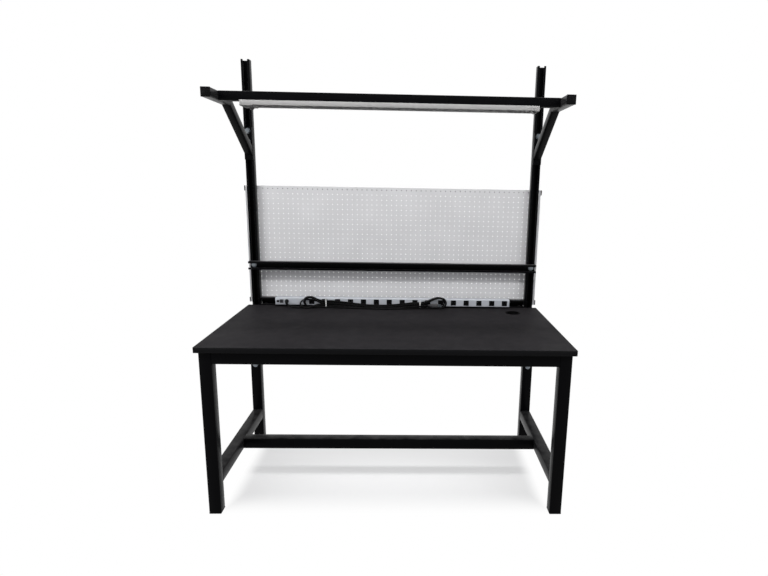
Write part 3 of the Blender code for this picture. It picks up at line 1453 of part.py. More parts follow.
def build_plug(face_x, y, z):
    """The plug, its blades pointing along +X from its face."""
    body = block(PLUG_LENGTH, PLUG_WIDTH, PLUG_HEIGHT, (-PLUG_LENGTH / 2, 0, 0))
    neck = rod(PLUG_NECK_DIAMETER, -PLUG_NECK_LENGTH, PLUG_NECK_LENGTH)
    neck.transform(at(-PLUG_LENGTH, 0, 0, HEAD_TO_LEFT))
    plug = joined(softened(body, PLUG_ROUNDING, 2), neck)

    half = BLADE_SLOT_SPACING / 2
    blade = block(2 * BLADE_LENGTH, BLADE_THICKNESS, BLADE_HEIGHT)
    pin = rod(GROUND_PIN_DIAMETER, -GROUND_PIN_LENGTH, GROUND_PIN_LENGTH, 8)
    blades = gathered(
        [
            (blade, at(0, -half, BLADE_RISE)),
            (blade, at(0, half, BLADE_RISE)),
            (pin, at(0, 0, -GROUND_PIN_DROP, HEAD_TO_RIGHT)),
        ]
    )
    part("plug", joined(plug, blades), "plug_rubber", at(face_x, y, z))


def main():
    """Builds the bench from the floor up."""
    clear_scene()
    build_worktop()
    build_frame()
    build_uprights()
    build_bottom_rail()
    build_pegboard()
    build_accessory_rail()
    build_overhead_frame()
    build_light()
    build_power_strip()
    build_cord()
    bpy.context.view_layer.update()


main()
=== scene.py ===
"""Looks of the assembly workbench: finishes, fine pieces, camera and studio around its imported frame.

Every length is in metres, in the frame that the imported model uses: X to the right, Y away from
the person at the bench, Z up from the floor.
"""

import json
import logging
import math
from collections.abc import Callable, Iterator
from dataclasses import dataclass
from enum import Enum

import bpy
import numpy as np
from mathutils import Matrix, Vector

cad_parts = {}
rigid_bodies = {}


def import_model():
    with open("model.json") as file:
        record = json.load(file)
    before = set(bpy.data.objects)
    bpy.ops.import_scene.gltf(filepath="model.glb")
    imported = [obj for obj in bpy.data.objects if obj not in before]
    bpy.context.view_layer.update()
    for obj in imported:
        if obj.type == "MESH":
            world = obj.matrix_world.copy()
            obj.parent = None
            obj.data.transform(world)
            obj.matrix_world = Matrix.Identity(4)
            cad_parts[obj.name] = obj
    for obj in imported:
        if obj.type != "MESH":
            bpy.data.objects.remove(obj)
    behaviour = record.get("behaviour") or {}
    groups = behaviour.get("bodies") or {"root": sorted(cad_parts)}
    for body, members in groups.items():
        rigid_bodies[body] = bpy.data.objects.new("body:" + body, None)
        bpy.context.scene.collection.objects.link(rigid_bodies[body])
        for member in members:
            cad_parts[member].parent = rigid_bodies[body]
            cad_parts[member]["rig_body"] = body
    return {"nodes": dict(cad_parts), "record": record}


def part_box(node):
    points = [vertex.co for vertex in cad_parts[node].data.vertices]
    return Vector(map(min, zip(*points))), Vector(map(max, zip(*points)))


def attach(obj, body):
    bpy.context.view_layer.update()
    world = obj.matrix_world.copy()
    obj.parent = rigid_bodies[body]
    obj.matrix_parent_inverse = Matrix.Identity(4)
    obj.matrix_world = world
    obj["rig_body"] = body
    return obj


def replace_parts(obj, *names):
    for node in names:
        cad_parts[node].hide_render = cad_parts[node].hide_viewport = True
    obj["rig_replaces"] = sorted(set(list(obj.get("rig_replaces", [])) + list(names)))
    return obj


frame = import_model()

LOG = logging.getLogger("workbench")
IMAGE_WIDTH = 768
IMAGE_HEIGHT = 576

Colour = tuple[float, float, float]
Point = tuple[float, float, float]


class Body(Enum):
    """The bodies of the frame that new pieces ride on."""

    BENCH = "bench"
    OVERHEAD = "overhead_frame"


class Slot(Enum):
    """The record's material slots."""

    POWDER_COAT = "powder_coat"
    LAMINATE = "laminate"
    EDGE_BAND = "edge_band"
    BLACK_PLASTIC = "black_plastic"
    ZINC = "zinc"
    PEGBOARD_PAINT = "pegboard_paint"
    LIGHT_PAINT = "light_paint"
    DIFFUSER = "diffuser_acrylic"
    ALUMINIUM = "strip_aluminium"
    CORD = "cord_jacket"
    PLUG = "plug_rubber"


class Along(Enum):
    """The world axis that a straight piece runs along."""

    X = 0
    Y = 1
    Z = 2


# Shader nodes


class Wiring:
    """A shader node tree, and what is added to it."""

    def __init__(self, tree: bpy.types.NodeTree) -> None:
        """Takes the tree."""
        self.tree = tree

    def feed(self, target: bpy.types.NodeSocket, value: object) -> None:
        """Joins another node's output to an input, or sets the input to a number or colour."""
        if isinstance(value, bpy.types.NodeSocket):
            self.tree.links.new(value, target)
        else:
            target.default_value = (*value, 1) if target.type == "RGBA" else value

    def node(self, kind: str, inputs: dict | None = None, **settings: object) -> bpy.types.Node:
        """Adds a node.

        Args:
            kind: its type.
            inputs: what its inputs take, by name or number.
            settings: its settings.

        Returns:
            The node.
        """
        made = self.tree.nodes.new(kind)
        for key, value in settings.items():
            setattr(made, key, value)
        for key, value in (inputs or {}).items():
            self.feed(made.inputs[key], value)
        return made

    def maths(self, operation: str, first: object, second: object) -> bpy.types.NodeSocket:
        """Reckons with two values, each an output or a number."""
        return self.node("ShaderNodeMath", {0: first, 1: second}, operation=operation).outputs[0]

    def noise(self, scale: object, detail: float, stretch: Point = (1, 1, 1)) -> bpy.types.NodeSocket:
        """Adds a noise pattern on the piece's own coordinates.

        Args:
            scale: its scale per metre, an output or a number.
            detail: its octaves.
            stretch: how much finer it is along each axis.

        Returns:
            The pattern's value.
        """
        place = self.node("ShaderNodeTexCoord").outputs["Object"]
        mapping = self.node("ShaderNodeMapping", {"Vector": place, "Scale": stretch})
        inputs = {"Vector": mapping.outputs["Vector"], "Scale": scale, "Detail": detail}
        return self.node("ShaderNodeTexNoise", inputs).outputs["Fac"]

    def ramp(
        self, value: bpy.types.NodeSocket, low: float, high: float,
        bottom: float = 0.0, top: float = 1.0, shape: str = "LINEAR",
    ) -> bpy.types.NodeSocket:
        """Spreads a value over a range, clamped at both ends.

        Args:
            value: the value.
            low: what becomes the bottom.
            high: what becomes the top.
            bottom: the range's start.
            top: the range's end.
            shape: how it goes from one to the other.

        Returns:
            The spread value.
        """
        inputs = {"Value": value, "From Min": low, "From Max": high, "To Min": bottom, "To Max": top}
        return self.node("ShaderNodeMapRange", inputs, interpolation_type=shape).outputs["Result"]


@dataclass(frozen=True)
class Socket:
    """One input or output of a node group, a number."""

    name: str
    value: float = 0.0


class NodeGroup(Wiring):
    """A shader node group with named inputs and outputs, built once."""

    def __init__(self, name: str, inputs: list[Socket], outputs: list[Socket]) -> None:
        """Makes the empty group.

        Args:
            name: the group's name.
            inputs: its inputs, in order.
            outputs: its outputs, in order.
        """
        super().__init__(bpy.data.node_groups.new(name, "ShaderNodeTree"))
        for way, sockets in (("INPUT", inputs), ("OUTPUT", outputs)):
            for socket in sockets:
                made = self.tree.interface.new_socket(
                    name=socket.name, in_out=way, socket_type="NodeSocketFloat"
                )
                made.default_value = socket.value
        self.given = self.tree.nodes.new("NodeGroupInput").outputs
        self.result = self.tree.nodes.new("NodeGroupOutput").inputs


def grain_group() -> bpy.types.NodeTree:
    """The fine skin of a coating: an even orange peel and a slow waviness, as a height.

    Returns:
        The group, which takes a scale and a waviness and gives a height and a mottle.
    """
    group = NodeGroup(
        "coating_grain", [Socket("Scale", 900.0), Socket("Waviness", 0.3)],
        [Socket("Height"), Socket("Mottle")],
    )
    fine = group.noise(group.given["Scale"], 2.0)
    slow = group.noise(group.maths("MULTIPLY", group.given["Scale"], 0.06), 1.0)
    lifted = group.maths("MULTIPLY", slow, group.given["Waviness"])
    group.feed(group.result["Height"], group.maths("ADD", fine, lifted))
    group.feed(group.result["Mottle"], group.ramp(group.noise(7.0, 4.0), 0.32, 0.68))
    return group.tree


def wear_group() -> bpy.types.NodeTree:
    """Rubbed edges: a mask along outer edges, broken up by noise.

    Returns:
        The group, which takes a radius and an amount and gives a mask.
    """
    group = NodeGroup("edge_rub", [Socket("Radius", 0.0012), Socket("Amount", 0.5)], [Socket("Mask")])
    bevel = group.node("ShaderNodeBevel", {"Radius": group.given["Radius"]}, samples=4)
    plain = group.node("ShaderNodeNewGeometry")
    normals = {0: bevel.outputs["Normal"], 1: plain.outputs["Normal"]}
    facing = group.node("ShaderNodeVectorMath", normals, operation="DOT_PRODUCT").outputs["Value"]
    edge = group.ramp(group.maths("SUBTRACT", 1.0, facing), 0.02, 0.2)
    mask = group.maths("MULTIPLY", edge, group.ramp(group.noise(60.0, 5.0), 0.42, 0.7))
    group.feed(group.result["Mask"], group.maths("MULTIPLY", mask, group.given["Amount"]))
    return group.tree


def dust_and_highlight_group() -> bpy.types.NodeTree:
    """A thin dust film on what faces up, thicker in patches; on the steel also a painted highlight.

    Returns:
        The group, which takes an amount and gives a mask.
    """
    group = NodeGroup("settled_dust_and_highlight", [Socket("Amount", 0.2)], [Socket("Mask")])
    facing = group.node("ShaderNodeNewGeometry").outputs["Normal"]
    upward = group.ramp(group.node("ShaderNodeSeparateXYZ", {0: facing}).outputs["Z"], 0.4, 1.0)
    mask = group.maths("MULTIPLY", upward, group.ramp(group.noise(22.0, 6.0), 0.35, 0.75))
    group.feed(group.result["Mask"], group.maths("MULTIPLY", mask, group.given["Amount"]))
    return group.tree


# Finishes


class MaterialSheet(Wiring):
    """A material under construction: one Principled BSDF and what feeds it."""

    def __init__(self, name: str, **values: object) -> None:
        """Makes the material.

        Args:
            name: the material's name.
            values: the Principled BSDF's values, with an underscore for each space.
        """
        self.material = bpy.data.materials.new(name)
        self.material.use_nodes = True
        super().__init__(self.material.node_tree)
        self.shader = next(node for node in self.tree.nodes if node.type == "BSDF_PRINCIPLED").inputs
        for key, value in values.items():
            self.feed(self.shader[key.replace("_", " ")], value)

    def group(self, tree: bpy.types.NodeTree, **values: float) -> bpy.types.NodeOutputs:
        """Places a shared node group with its own values and returns its outputs."""
        return self.node("ShaderNodeGroup", values, node_tree=tree).outputs

    def blend(self, factor: bpy.types.NodeSocket, first: object, second: Colour) -> bpy.types.NodeSocket:
        """Mixes two colours.

        Args:
            factor: the share of the second.
            first: a colour, or the output that gives it.
            second: a colour.

        Returns:
            The mixed colour's output.
        """
        mix = self.node("ShaderNodeMix", {"Factor": factor}, data_type="RGBA")
        colours = [socket for socket in mix.inputs if socket.type == "RGBA"]
        for target, value in zip(colours, (first, second)):
            self.feed(target, value)
        return next(socket for socket in mix.outputs if socket.type == "RGBA")


def tinted(colour: Colour, share: float) -> Colour:
    """A colour with each part multiplied by a share."""
    return tuple(min(1.0, part * share) for part in colour)


@dataclass(frozen=True)
class Finish:
    """A coated or moulded finish.

    Its grain is an even orange peel, its mottle a faint change of tone, its rub a paler line on
    the edges, and its dust a thin film on what faces up; on the steel that film is heavy and pale,
    and it paints a highlight on the upward faces as well.
    """

    slot: Slot
    colour: Colour
    roughness: float
    metallic: float = 0.0
    grain_scale: float = 900.0
    grain_depth: float = 0.00005
    waviness: float = 0.3
    mottle: float = 0.12
    rub: float = 0.35
    rub_colour: Colour = (0.12, 0.12, 0.125)
    # Dust film on upward faces; on the steel it is also a painted highlight
    dust_and_highlight: float = 0.04
    dust_and_highlight_colour: Colour = (0.2, 0.195, 0.19)
    specular: float = 0.5
    sheen: float = 0.0
    sheen_roughness: float = 0.4
    smoother: float = 0.04
    rougher: float = 0.05

    def build(self, groups: dict[str, bpy.types.NodeTree]) -> bpy.types.Material:
        """Makes the material.

        Args:
            groups: the shared node groups by name.

        Returns:
            The finished material.
        """
        sheet = MaterialSheet(
            self.slot.value, Base_Color=self.colour, Roughness=self.roughness, Metallic=self.metallic,
            Specular_IOR_Level=self.specular, Sheen_Weight=self.sheen,
            Sheen_Roughness=self.sheen_roughness,
        )
        sheet.material.diffuse_color = (*self.colour, 1)
        grain = sheet.group(groups["grain"], Scale=self.grain_scale, Waviness=self.waviness)
        low, high = (tinted(self.colour, 1 + sign * self.mottle) for sign in (-1, 1))
        tone = self.pattern(sheet, sheet.blend(grain["Mottle"], low, high))
        rub = sheet.group(groups["wear"], Amount=self.rub)["Mask"]
        tone = sheet.blend(rub, tone, self.rub_colour)
        # Pale film on upward faces: dust, and on the steel also a painted highlight
        dust_and_highlight = sheet.group(groups["dust_and_highlight"], Amount=self.dust_and_highlight)["Mask"]
        sheet.feed(sheet.shader["Base Color"], sheet.blend(dust_and_highlight, tone, self.dust_and_highlight_colour))
        limits = (self.roughness - self.smoother, self.roughness + self.rougher)
        sheet.feed(sheet.shader["Roughness"], sheet.ramp(grain["Mottle"], 0.0, 1.0, *limits))
        height = {"Height": self.relief(sheet, grain["Height"]), "Distance": self.grain_depth}
        sheet.feed(sheet.shader["Normal"], sheet.node("ShaderNodeBump", height).outputs["Normal"])
        self.adjust(sheet)
        return sheet.material

    def pattern(self, sheet: MaterialSheet, tone: bpy.types.NodeSocket) -> bpy.types.NodeSocket:
        """Adds the finish's own pattern to its tone. A plain finish has none."""
        return tone

    def relief(self, sheet: MaterialSheet, height: bpy.types.NodeSocket) -> bpy.types.NodeSocket:
        """Adds the finish's own relief to the grain's height. A plain finish has none."""
        return height

    def adjust(self, sheet: MaterialSheet) -> None:
        """Sets what else is the same all over the surface. A plain finish sets nothing."""


@dataclass(frozen=True)
class Laminate(Finish):
    """A dark laminate: fine pale specks and a soft cloudy tone over a pressed texture."""

    fleck_colour: Colour = (0.075, 0.072, 0.074)
    cloud_tint: float = 1.35

    def pattern(self, sheet: MaterialSheet, tone: bpy.types.NodeSocket) -> bpy.types.NodeSocket:
        """Scatters the specks and the clouds.

        Args:
            sheet: the material under construction.
            tone: its tone so far.

        Returns:
            The tone with the pattern.
        """
        clouds = sheet.ramp(sheet.noise(3.0, 3.0), 0.35, 0.7, top=0.35)
        tone = sheet.blend(clouds, tone, tinted(self.colour, self.cloud_tint))
        flecks = sheet.ramp(sheet.noise(700.0, 2.0), 0.6, 0.72, top=0.55)
        return sheet.blend(flecks, tone, self.fleck_colour)


@dataclass(frozen=True)
class Plating(Finish):
    """Bright zinc: a metal with faint clouds of blue and straw."""

    blue: Colour = (0.19, 0.22, 0.27)
    straw: Colour = (0.24, 0.23, 0.18)

    def pattern(self, sheet: MaterialSheet, tone: bpy.types.NodeSocket) -> bpy.types.NodeSocket:
        """Adds the clouds.

        Args:
            sheet: the material under construction.
            tone: its tone so far.

        Returns:
            The tone with the pattern.
        """
        cold = sheet.ramp(sheet.noise(90.0, 3.0), 0.4, 0.7, top=0.5)
        warm = sheet.ramp(sheet.noise(55.0, 2.0, (1.3, 0.8, 1.0)), 0.5, 0.75, top=0.3)
        return sheet.blend(warm, sheet.blend(cold, tone, self.blue), self.straw)


@dataclass(frozen=True)
class Brushed(Finish):
    """Anodised aluminium sheet with fine lines drawn along the strip."""

    line_tint: float = 1.12

    def lines(self, sheet: MaterialSheet) -> bpy.types.NodeSocket:
        """The long fine lines."""
        return sheet.noise(30.0, 6.0, (1.0, 60.0, 60.0))

    def relief(self, sheet: MaterialSheet, height: bpy.types.NodeSocket) -> bpy.types.NodeSocket:
        """Replaces the grain's height by the lines."""
        return self.lines(sheet)

    def pattern(self, sheet: MaterialSheet, tone: bpy.types.NodeSocket) -> bpy.types.NodeSocket:
        """Tints the same lines."""
        drawn = sheet.ramp(self.lines(sheet), 0.35, 0.65, top=0.5)
        return sheet.blend(drawn, tone, tinted(self.colour, self.line_tint))


@dataclass(frozen=True)
class Frosted(Finish):
    """A frosted acrylic lens with fine prisms along its length."""

    prism_scale: float = 80.0
    depth_weight: float = 0.15
    depth: Point = (0.004, 0.004, 0.004)

    def relief(self, sheet: MaterialSheet, height: bpy.types.NodeSocket) -> bpy.types.NodeSocket:
        """Replaces the grain's height by fine prism lines that run along the lens.

        Args:
            sheet: the material under construction.
            height: the grain's height, which is not used.

        Returns:
            The prisms' height.
        """
        place = sheet.node("ShaderNodeTexCoord").outputs["Object"]
        prisms = {"Vector": place, "Scale": self.prism_scale}
        return sheet.node("ShaderNodeTexWave", prisms, bands_direction="Y").outputs["Fac"]

    def adjust(self, sheet: MaterialSheet) -> None:
        """Gives the lens a little depth."""
        sheet.feed(sheet.shader["Subsurface Weight"], self.depth_weight)
        sheet.feed(sheet.shader["Subsurface Radius"], self.depth)


# Heavy pale dust on the steel: dust, and also a painted highlight on the upward faces
STEEL = Finish(
    Slot.POWDER_COAT, (0.0012, 0.0012, 0.0016), 0.3, rub=0.25, rub_colour=(0.025, 0.025, 0.027),
    dust_and_highlight=0.1, specular=0.035, sheen=0.05,
)
TOP = Laminate(
    Slot.LAMINATE, (0.0096, 0.0089, 0.0099), 0.65, grain_scale=500.0, grain_depth=0.00008,
    mottle=0.08, rub=0.12, dust_and_highlight=0.02, fleck_colour=(0.03, 0.028, 0.03), specular=0.04,
)
BAND = Finish(
    Slot.EDGE_BAND, (0.004, 0.004, 0.0045), 0.5, grain_scale=700.0, rub=0.2,
    rub_colour=(0.03, 0.03, 0.032), dust_and_highlight=0.02, specular=0.06,
)
BLACK_PLASTIC = Finish(
    Slot.BLACK_PLASTIC, (0.003, 0.003, 0.0033), 0.5, grain_scale=1400.0, rub=0.2,
    rub_colour=(0.03, 0.03, 0.032), dust_and_highlight=0.02, specular=0.05,
)
GROMMET_PLASTIC = Finish(
    Slot.BLACK_PLASTIC, (0.0012, 0.0012, 0.0013), 0.6, grain_scale=1400.0, rub=0.1,
    rub_colour=(0.02, 0.02, 0.021), dust_and_highlight=0.004, specular=0.02,
)
GREY_PLASTIC = Finish(
    Slot.BLACK_PLASTIC, (0.03, 0.03, 0.032), 0.42, grain_scale=1400.0, rub=0.35, specular=0.4,
)
ZINC = Plating(
    Slot.ZINC, (0.17, 0.188, 0.203), 0.32, metallic=1.0, grain_scale=1600.0, grain_depth=0.00002,
    rub=0.12, rub_colour=(0.4, 0.4, 0.42), dust_and_highlight=0.03,
)
PANEL_PAINT = Finish(
    Slot.PEGBOARD_PAINT, (0.585, 0.583, 0.588), 0.45, mottle=0.03, rub=0.1,
    rub_colour=(0.72, 0.72, 0.74), dust_and_highlight=0.04, dust_and_highlight_colour=(0.5, 0.49, 0.48), specular=0.15,
)
LIGHT_PAINT = Finish(
    Slot.LIGHT_PAINT, (0.31, 0.305, 0.3), 0.4, grain_depth=0.000012, mottle=0.03, rub=0.1,
    rub_colour=(0.7, 0.7, 0.7), dust_and_highlight=0.06, dust_and_highlight_colour=(0.45, 0.44, 0.42), specular=0.15,
)
LENS = Frosted(
    Slot.DIFFUSER, (0.85, 0.84, 0.82), 0.6, grain_depth=0.0002, mottle=0.02, rub=0.0,
    rub_colour=(0.5, 0.5, 0.5), dust_and_highlight=0.0, specular=0.06,
)
ALUMINIUM = Brushed(
    Slot.ALUMINIUM, (0.49, 0.51, 0.545), 0.4, metallic=0.35, grain_depth=0.00003, mottle=0.04,
    rub_colour=(0.8, 0.8, 0.82), dust_and_highlight=0.05, dust_and_highlight_colour=(0.5, 0.5, 0.5),
)
CORD_JACKET = Finish(
    Slot.CORD, (0.0014, 0.0014, 0.0016), 0.32, grain_scale=2200.0, grain_depth=0.00004,
    rub=0.0, dust_and_highlight=0.015, specular=0.12, sheen=0.02,
)
PLUG_RUBBER = Finish(
    Slot.PLUG, (0.045, 0.045, 0.047), 0.45, grain_scale=1500.0, rub=0.15, dust_and_highlight=0.06, sheen=0.02,
)
TIE_NYLON = Finish(
    Slot.LIGHT_PAINT, (0.66, 0.66, 0.64), 0.45, grain_scale=1800.0, mottle=0.04, rub=0.0,
    dust_and_highlight=0.05,
)


class FinishBook:
    """Builds each finish once and gives it to the pieces."""

    def __init__(self) -> None:
        """Builds the shared groups and opens an empty book."""
        self.groups = {"grain": grain_group(), "wear": wear_group(), "dust_and_highlight": dust_and_highlight_group()}
        self.made: dict[Finish, bpy.types.Material] = {}

    def material(self, finish: Finish) -> bpy.types.Material:
        """The material of a finish."""
        if finish not in self.made:
            self.made[finish] = finish.build(self.groups)
        return self.made[finish]

    def dress_part(
        self, piece: bpy.types.Object, finish: Finish, inside: Callable[[Vector, Vector], bool]
    ) -> None:
        """Gives some faces of a dressed piece a second finish.

        Args:
            piece: the piece.
            finish: the second finish.
            inside: a test of a face's middle and normal.
        """
        piece.data.materials.append(self.material(finish))
        piece.active_material_index = len(piece.data.materials) - 1
        with Editing(piece) as edit:
            edit.choose(inside)
            bpy.ops.object.material_slot_assign()

    def dress(self, piece: bpy.types.Object, finish: Finish) -> None:
        """Gives a piece one finish all over."""
        piece.data.materials.clear()
        piece.data.materials.append(self.material(finish))

    def hand_over(
        self, piece: bpy.types.Object, finish: Finish, body: str, *stands_for: str
    ) -> bpy.types.Object:
        """Dresses a piece and says what it rides on, stands for and is made of.

        Args:
            piece: the finished piece.
            finish: its finish.
            body: the body that it rides on.
            stands_for: the nodes that it stands for.

        Returns:
            The piece.
        """
        self.dress(piece, finish)
        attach(piece, body)
        if stands_for:
            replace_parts(piece, *stands_for)
        return piece


# Modelling by hand, in code

# How near to a plane a point counts as on it
NEARLY = 0.0001

# How much of a normal or an edge's way lies along an axis that it counts as facing along
FACING = 0.9


def pick(*pieces: bpy.types.Object) -> None:
    """Selects these objects alone and makes the first one active."""
    bpy.ops.object.select_all(action="DESELECT")
    for piece in pieces:
        piece.select_set(True)
    bpy.context.view_layer.objects.active = pieces[0]


def clear_selection() -> None:
    """Deselects everything, so that the next primitive stands alone."""
    bpy.ops.object.select_all(action="DESELECT")


def active() -> bpy.types.Object:
    """The object that an operator has just made."""
    return bpy.context.view_layer.objects.active


class Editing:
    """Edit mode on one piece, entered and left by a with block, with nothing selected."""

    def __init__(self, piece: bpy.types.Object, mode: str = "FACE") -> None:
        """Remembers the piece.

        Args:
            piece: the mesh object to edit.
            mode: what is selected: VERT, EDGE or FACE.
        """
        self.piece = piece
        self.mode = mode

    def __enter__(self) -> "Editing":
        """Enters edit mode.

        Returns:
            Itself, for the block's own selections.
        """
        pick(self.piece)
        bpy.ops.object.mode_set(mode="EDIT")
        bpy.ops.mesh.select_mode(type=self.mode)
        bpy.ops.mesh.select_all(action="DESELECT")
        return self

    def __exit__(self, *problem: object) -> None:
        """Leaves edit mode."""
        bpy.ops.object.mode_set(mode="OBJECT")

    def elements(self) -> Iterator[tuple[bpy.types.bpy_struct, Vector, Vector]]:
        """Each vertex, edge or face, with its middle and its normal or, of an edge, its way."""
        mesh = self.piece.data
        if self.mode == "VERT":
            yield from ((vertex, vertex.co, vertex.normal) for vertex in mesh.vertices)
        elif self.mode == "FACE":
            yield from ((face, face.center, face.normal) for face in mesh.polygons)
        else:
            for edge in mesh.edges:
                first, second = (mesh.vertices[place].co for place in edge.vertices)
                yield edge, (first + second) / 2, (second - first).normalized()

    def choose(self, test: Callable[[Vector, Vector], bool]) -> None:
        """Selects the elements that a test takes, and nothing else.

        Args:
            test: a function of an element's middle and its normal or, of an edge, its way.
        """
        bpy.ops.mesh.select_all(action="DESELECT")
        bpy.ops.object.mode_set(mode="OBJECT")
        for element, middle, way in self.elements():
            element.select = bool(test(middle, way))
        bpy.ops.object.mode_set(mode="EDIT")


def seat(piece: bpy.types.Object) -> bpy.types.Object:
    """Puts a piece's place in its mesh, so that its object sits at the origin.

    Args:
        piece: the piece.

    Returns:
        The piece.
    """
    pick(piece)
    bpy.ops.object.transform_apply(location=True, rotation=True, scale=True)
    return piece


def modify(piece: bpy.types.Object, kind: str, **settings: object) -> bpy.types.Object:
    """Adds a modifier with its settings and applies it.

    Args:
        piece: the mesh object.
        kind: the modifier's type.
        settings: the modifier's settings.

    Returns:
        The piece.
    """
    pick(piece)
    made = piece.modifiers.new(kind.lower(), kind)
    for key, value in settings.items():
        setattr(made, key, value)
    bpy.ops.object.modifier_apply(modifier=made.name)
    return piece


def smooth(piece: bpy.types.Object, degrees: float = 35.0) -> bpy.types.Object:
    """Shades a piece smooth, but for its sharp edges.

    Args:
        piece: the piece.
        degrees: the least angle of a sharp edge.

    Returns:
        The piece.
    """
    pick(piece)
    bpy.ops.object.shade_smooth_by_angle(angle=math.radians(degrees))
    return piece


def blank_box(name: str, middle: Vector, size: Point) -> bpy.types.Object:
    """A box to shape further, its place in its mesh.

    Args:
        name: the piece's name.
        middle: its middle.
        size: its size along each axis.

    Returns:
        The box.
    """
    clear_selection()
    bpy.ops.mesh.primitive_cube_add(size=1, location=middle)
    piece = active()
    piece.name = name
    piece.scale = size
    return seat(piece)


TURN_TO = {
    Along.X: (0.0, math.pi / 2, 0.0),
    Along.Y: (-math.pi / 2, 0.0, 0.0),
    Along.Z: (0.0, 0.0, 0.0),
}


def blank_rod(
    name: str, middle: Vector, along: Along, radius: float, length: float,
    sides: int = 24, ends: str = "NGON",
) -> bpy.types.Object:
    """A rod to shape further, its place in its mesh.

    Args:
        name: the piece's name.
        middle: its middle.
        along: its axis.
        radius: its radius.
        length: its length.
        sides: its number of sides.
        ends: NGON for closed ends or NOTHING for open ones.

    Returns:
        The rod.
    """
    clear_selection()
    bpy.ops.mesh.primitive_cylinder_add(
        vertices=sides, radius=radius, depth=length, end_fill_type=ends,
        location=middle, rotation=TURN_TO[along],
    )
    piece = active()
    piece.name = name
    return seat(piece)


def join(name: str, pieces: list[bpy.types.Object]) -> bpy.types.Object:
    """Joins pieces into one object.

    Args:
        name: its name.
        pieces: the pieces, the first of which takes in the rest.

    Returns:
        The joined piece.
    """
    pick(*pieces)
    bpy.ops.object.join()
    piece = active()
    piece.name = name
    piece.data.name = name
    return piece


# Carried-over nodes


class CarriedNodes:
    """The frame's own nodes, each with its finish, and smooth where it is round.

    A round or soft-cornered node is shown by a merged and smooth copy of itself.
    """

    FINISH_OF_SLOT = {
        finish.slot.value: finish
        for finish in (
            STEEL, TOP, BAND, BLACK_PLASTIC, ZINC, PANEL_PAINT, LIGHT_PAINT, LENS, ALUMINIUM,
            CORD_JACKET, PLUG_RUBBER,
        )
    }
    FINISH_OF_NODE = {
        "light_button": LIGHT_PAINT,
        "rail_bracket_left": STEEL,
        "rail_bracket_right": STEEL,
        "cable_grommet": GROMMET_PLASTIC,
        "switch_bezel": GREY_PLASTIC,
        "reset_collar": GREY_PLASTIC,
        "rocker_switch": GREY_PLASTIC,
    }
    SMOOTH_ANGLE = 48.0
    MERGE_DISTANCE = 0.000002
    OUTLET_COUNT = 16
    OUTLET_PITCH = 0.0673
    OUTLET_REACH = 0.0138
    OUTLET_DEPTH = 0.021
    LAST_OUTLET = 0.586

    def __init__(self, book: FinishBook, skip: set[str]) -> None:
        """Reads the record.

        Args:
            book: the finishes.
            skip: the nodes that other pieces stand for.
        """
        self.book = book
        self.skip = skip
        self.slots = {part["node"]: part["material_slot"] for part in frame["record"]["subparts"]}
        self.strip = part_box("strip_housing")

    def build(self) -> list[bpy.types.Object]:
        """Dresses every node.

        Returns:
            The pieces that stand for nodes.
        """
        made = []
        for name, node in sorted(frame["nodes"].items()):
            finish = self.FINISH_OF_NODE.get(name, self.FINISH_OF_SLOT[self.slots[name]])
            self.book.dress(node, finish)
            if name not in self.skip:
                made.append(self.smooth_copy(name, node, finish))
            if name == "strip_housing":
                self.book.dress_part(made[-1], BLACK_PLASTIC, self.in_outlet)
        return made

    def in_outlet(self, place: Vector, _: Vector) -> bool:
        """Whether a face of the strip's housing belongs to one of its outlets.

        Args:
            place: the face's middle.
            _: its normal, which doesn't matter.

        Returns:
            True within an outlet's outline, from the strip's front to its depth.
        """
        low, high = self.strip
        step = round((self.LAST_OUTLET - place.x) / self.OUTLET_PITCH)
        aside = abs(self.LAST_OUTLET - step * self.OUTLET_PITCH - place.x)
        return (
            0 <= step < self.OUTLET_COUNT
            and max(aside, abs(place.z - (low.z + high.z) / 2)) < self.OUTLET_REACH
            and place.y < low.y + self.OUTLET_DEPTH
        )

    def smooth_copy(self, name: str, node: bpy.types.Object, finish: Finish) -> bpy.types.Object:
        """A merged copy of a node, smooth over its rounded corners.

        Args:
            name: the node's name.
            node: the node.
            finish: its finish.

        Returns:
            The copy, which stands for the node.
        """
        piece = bpy.data.objects.new(f"{name}_finished", node.data.copy())
        bpy.context.scene.collection.objects.link(piece)
        with Editing(piece, "VERT"):
            bpy.ops.mesh.select_all(action="SELECT")
            bpy.ops.mesh.remove_doubles(threshold=self.MERGE_DISTANCE)
            bpy.ops.mesh.customdata_custom_splitnormals_clear()
        smooth(piece, self.SMOOTH_ANGLE)
        return self.book.hand_over(piece, finish, node["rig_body"], name)


# Pegboard


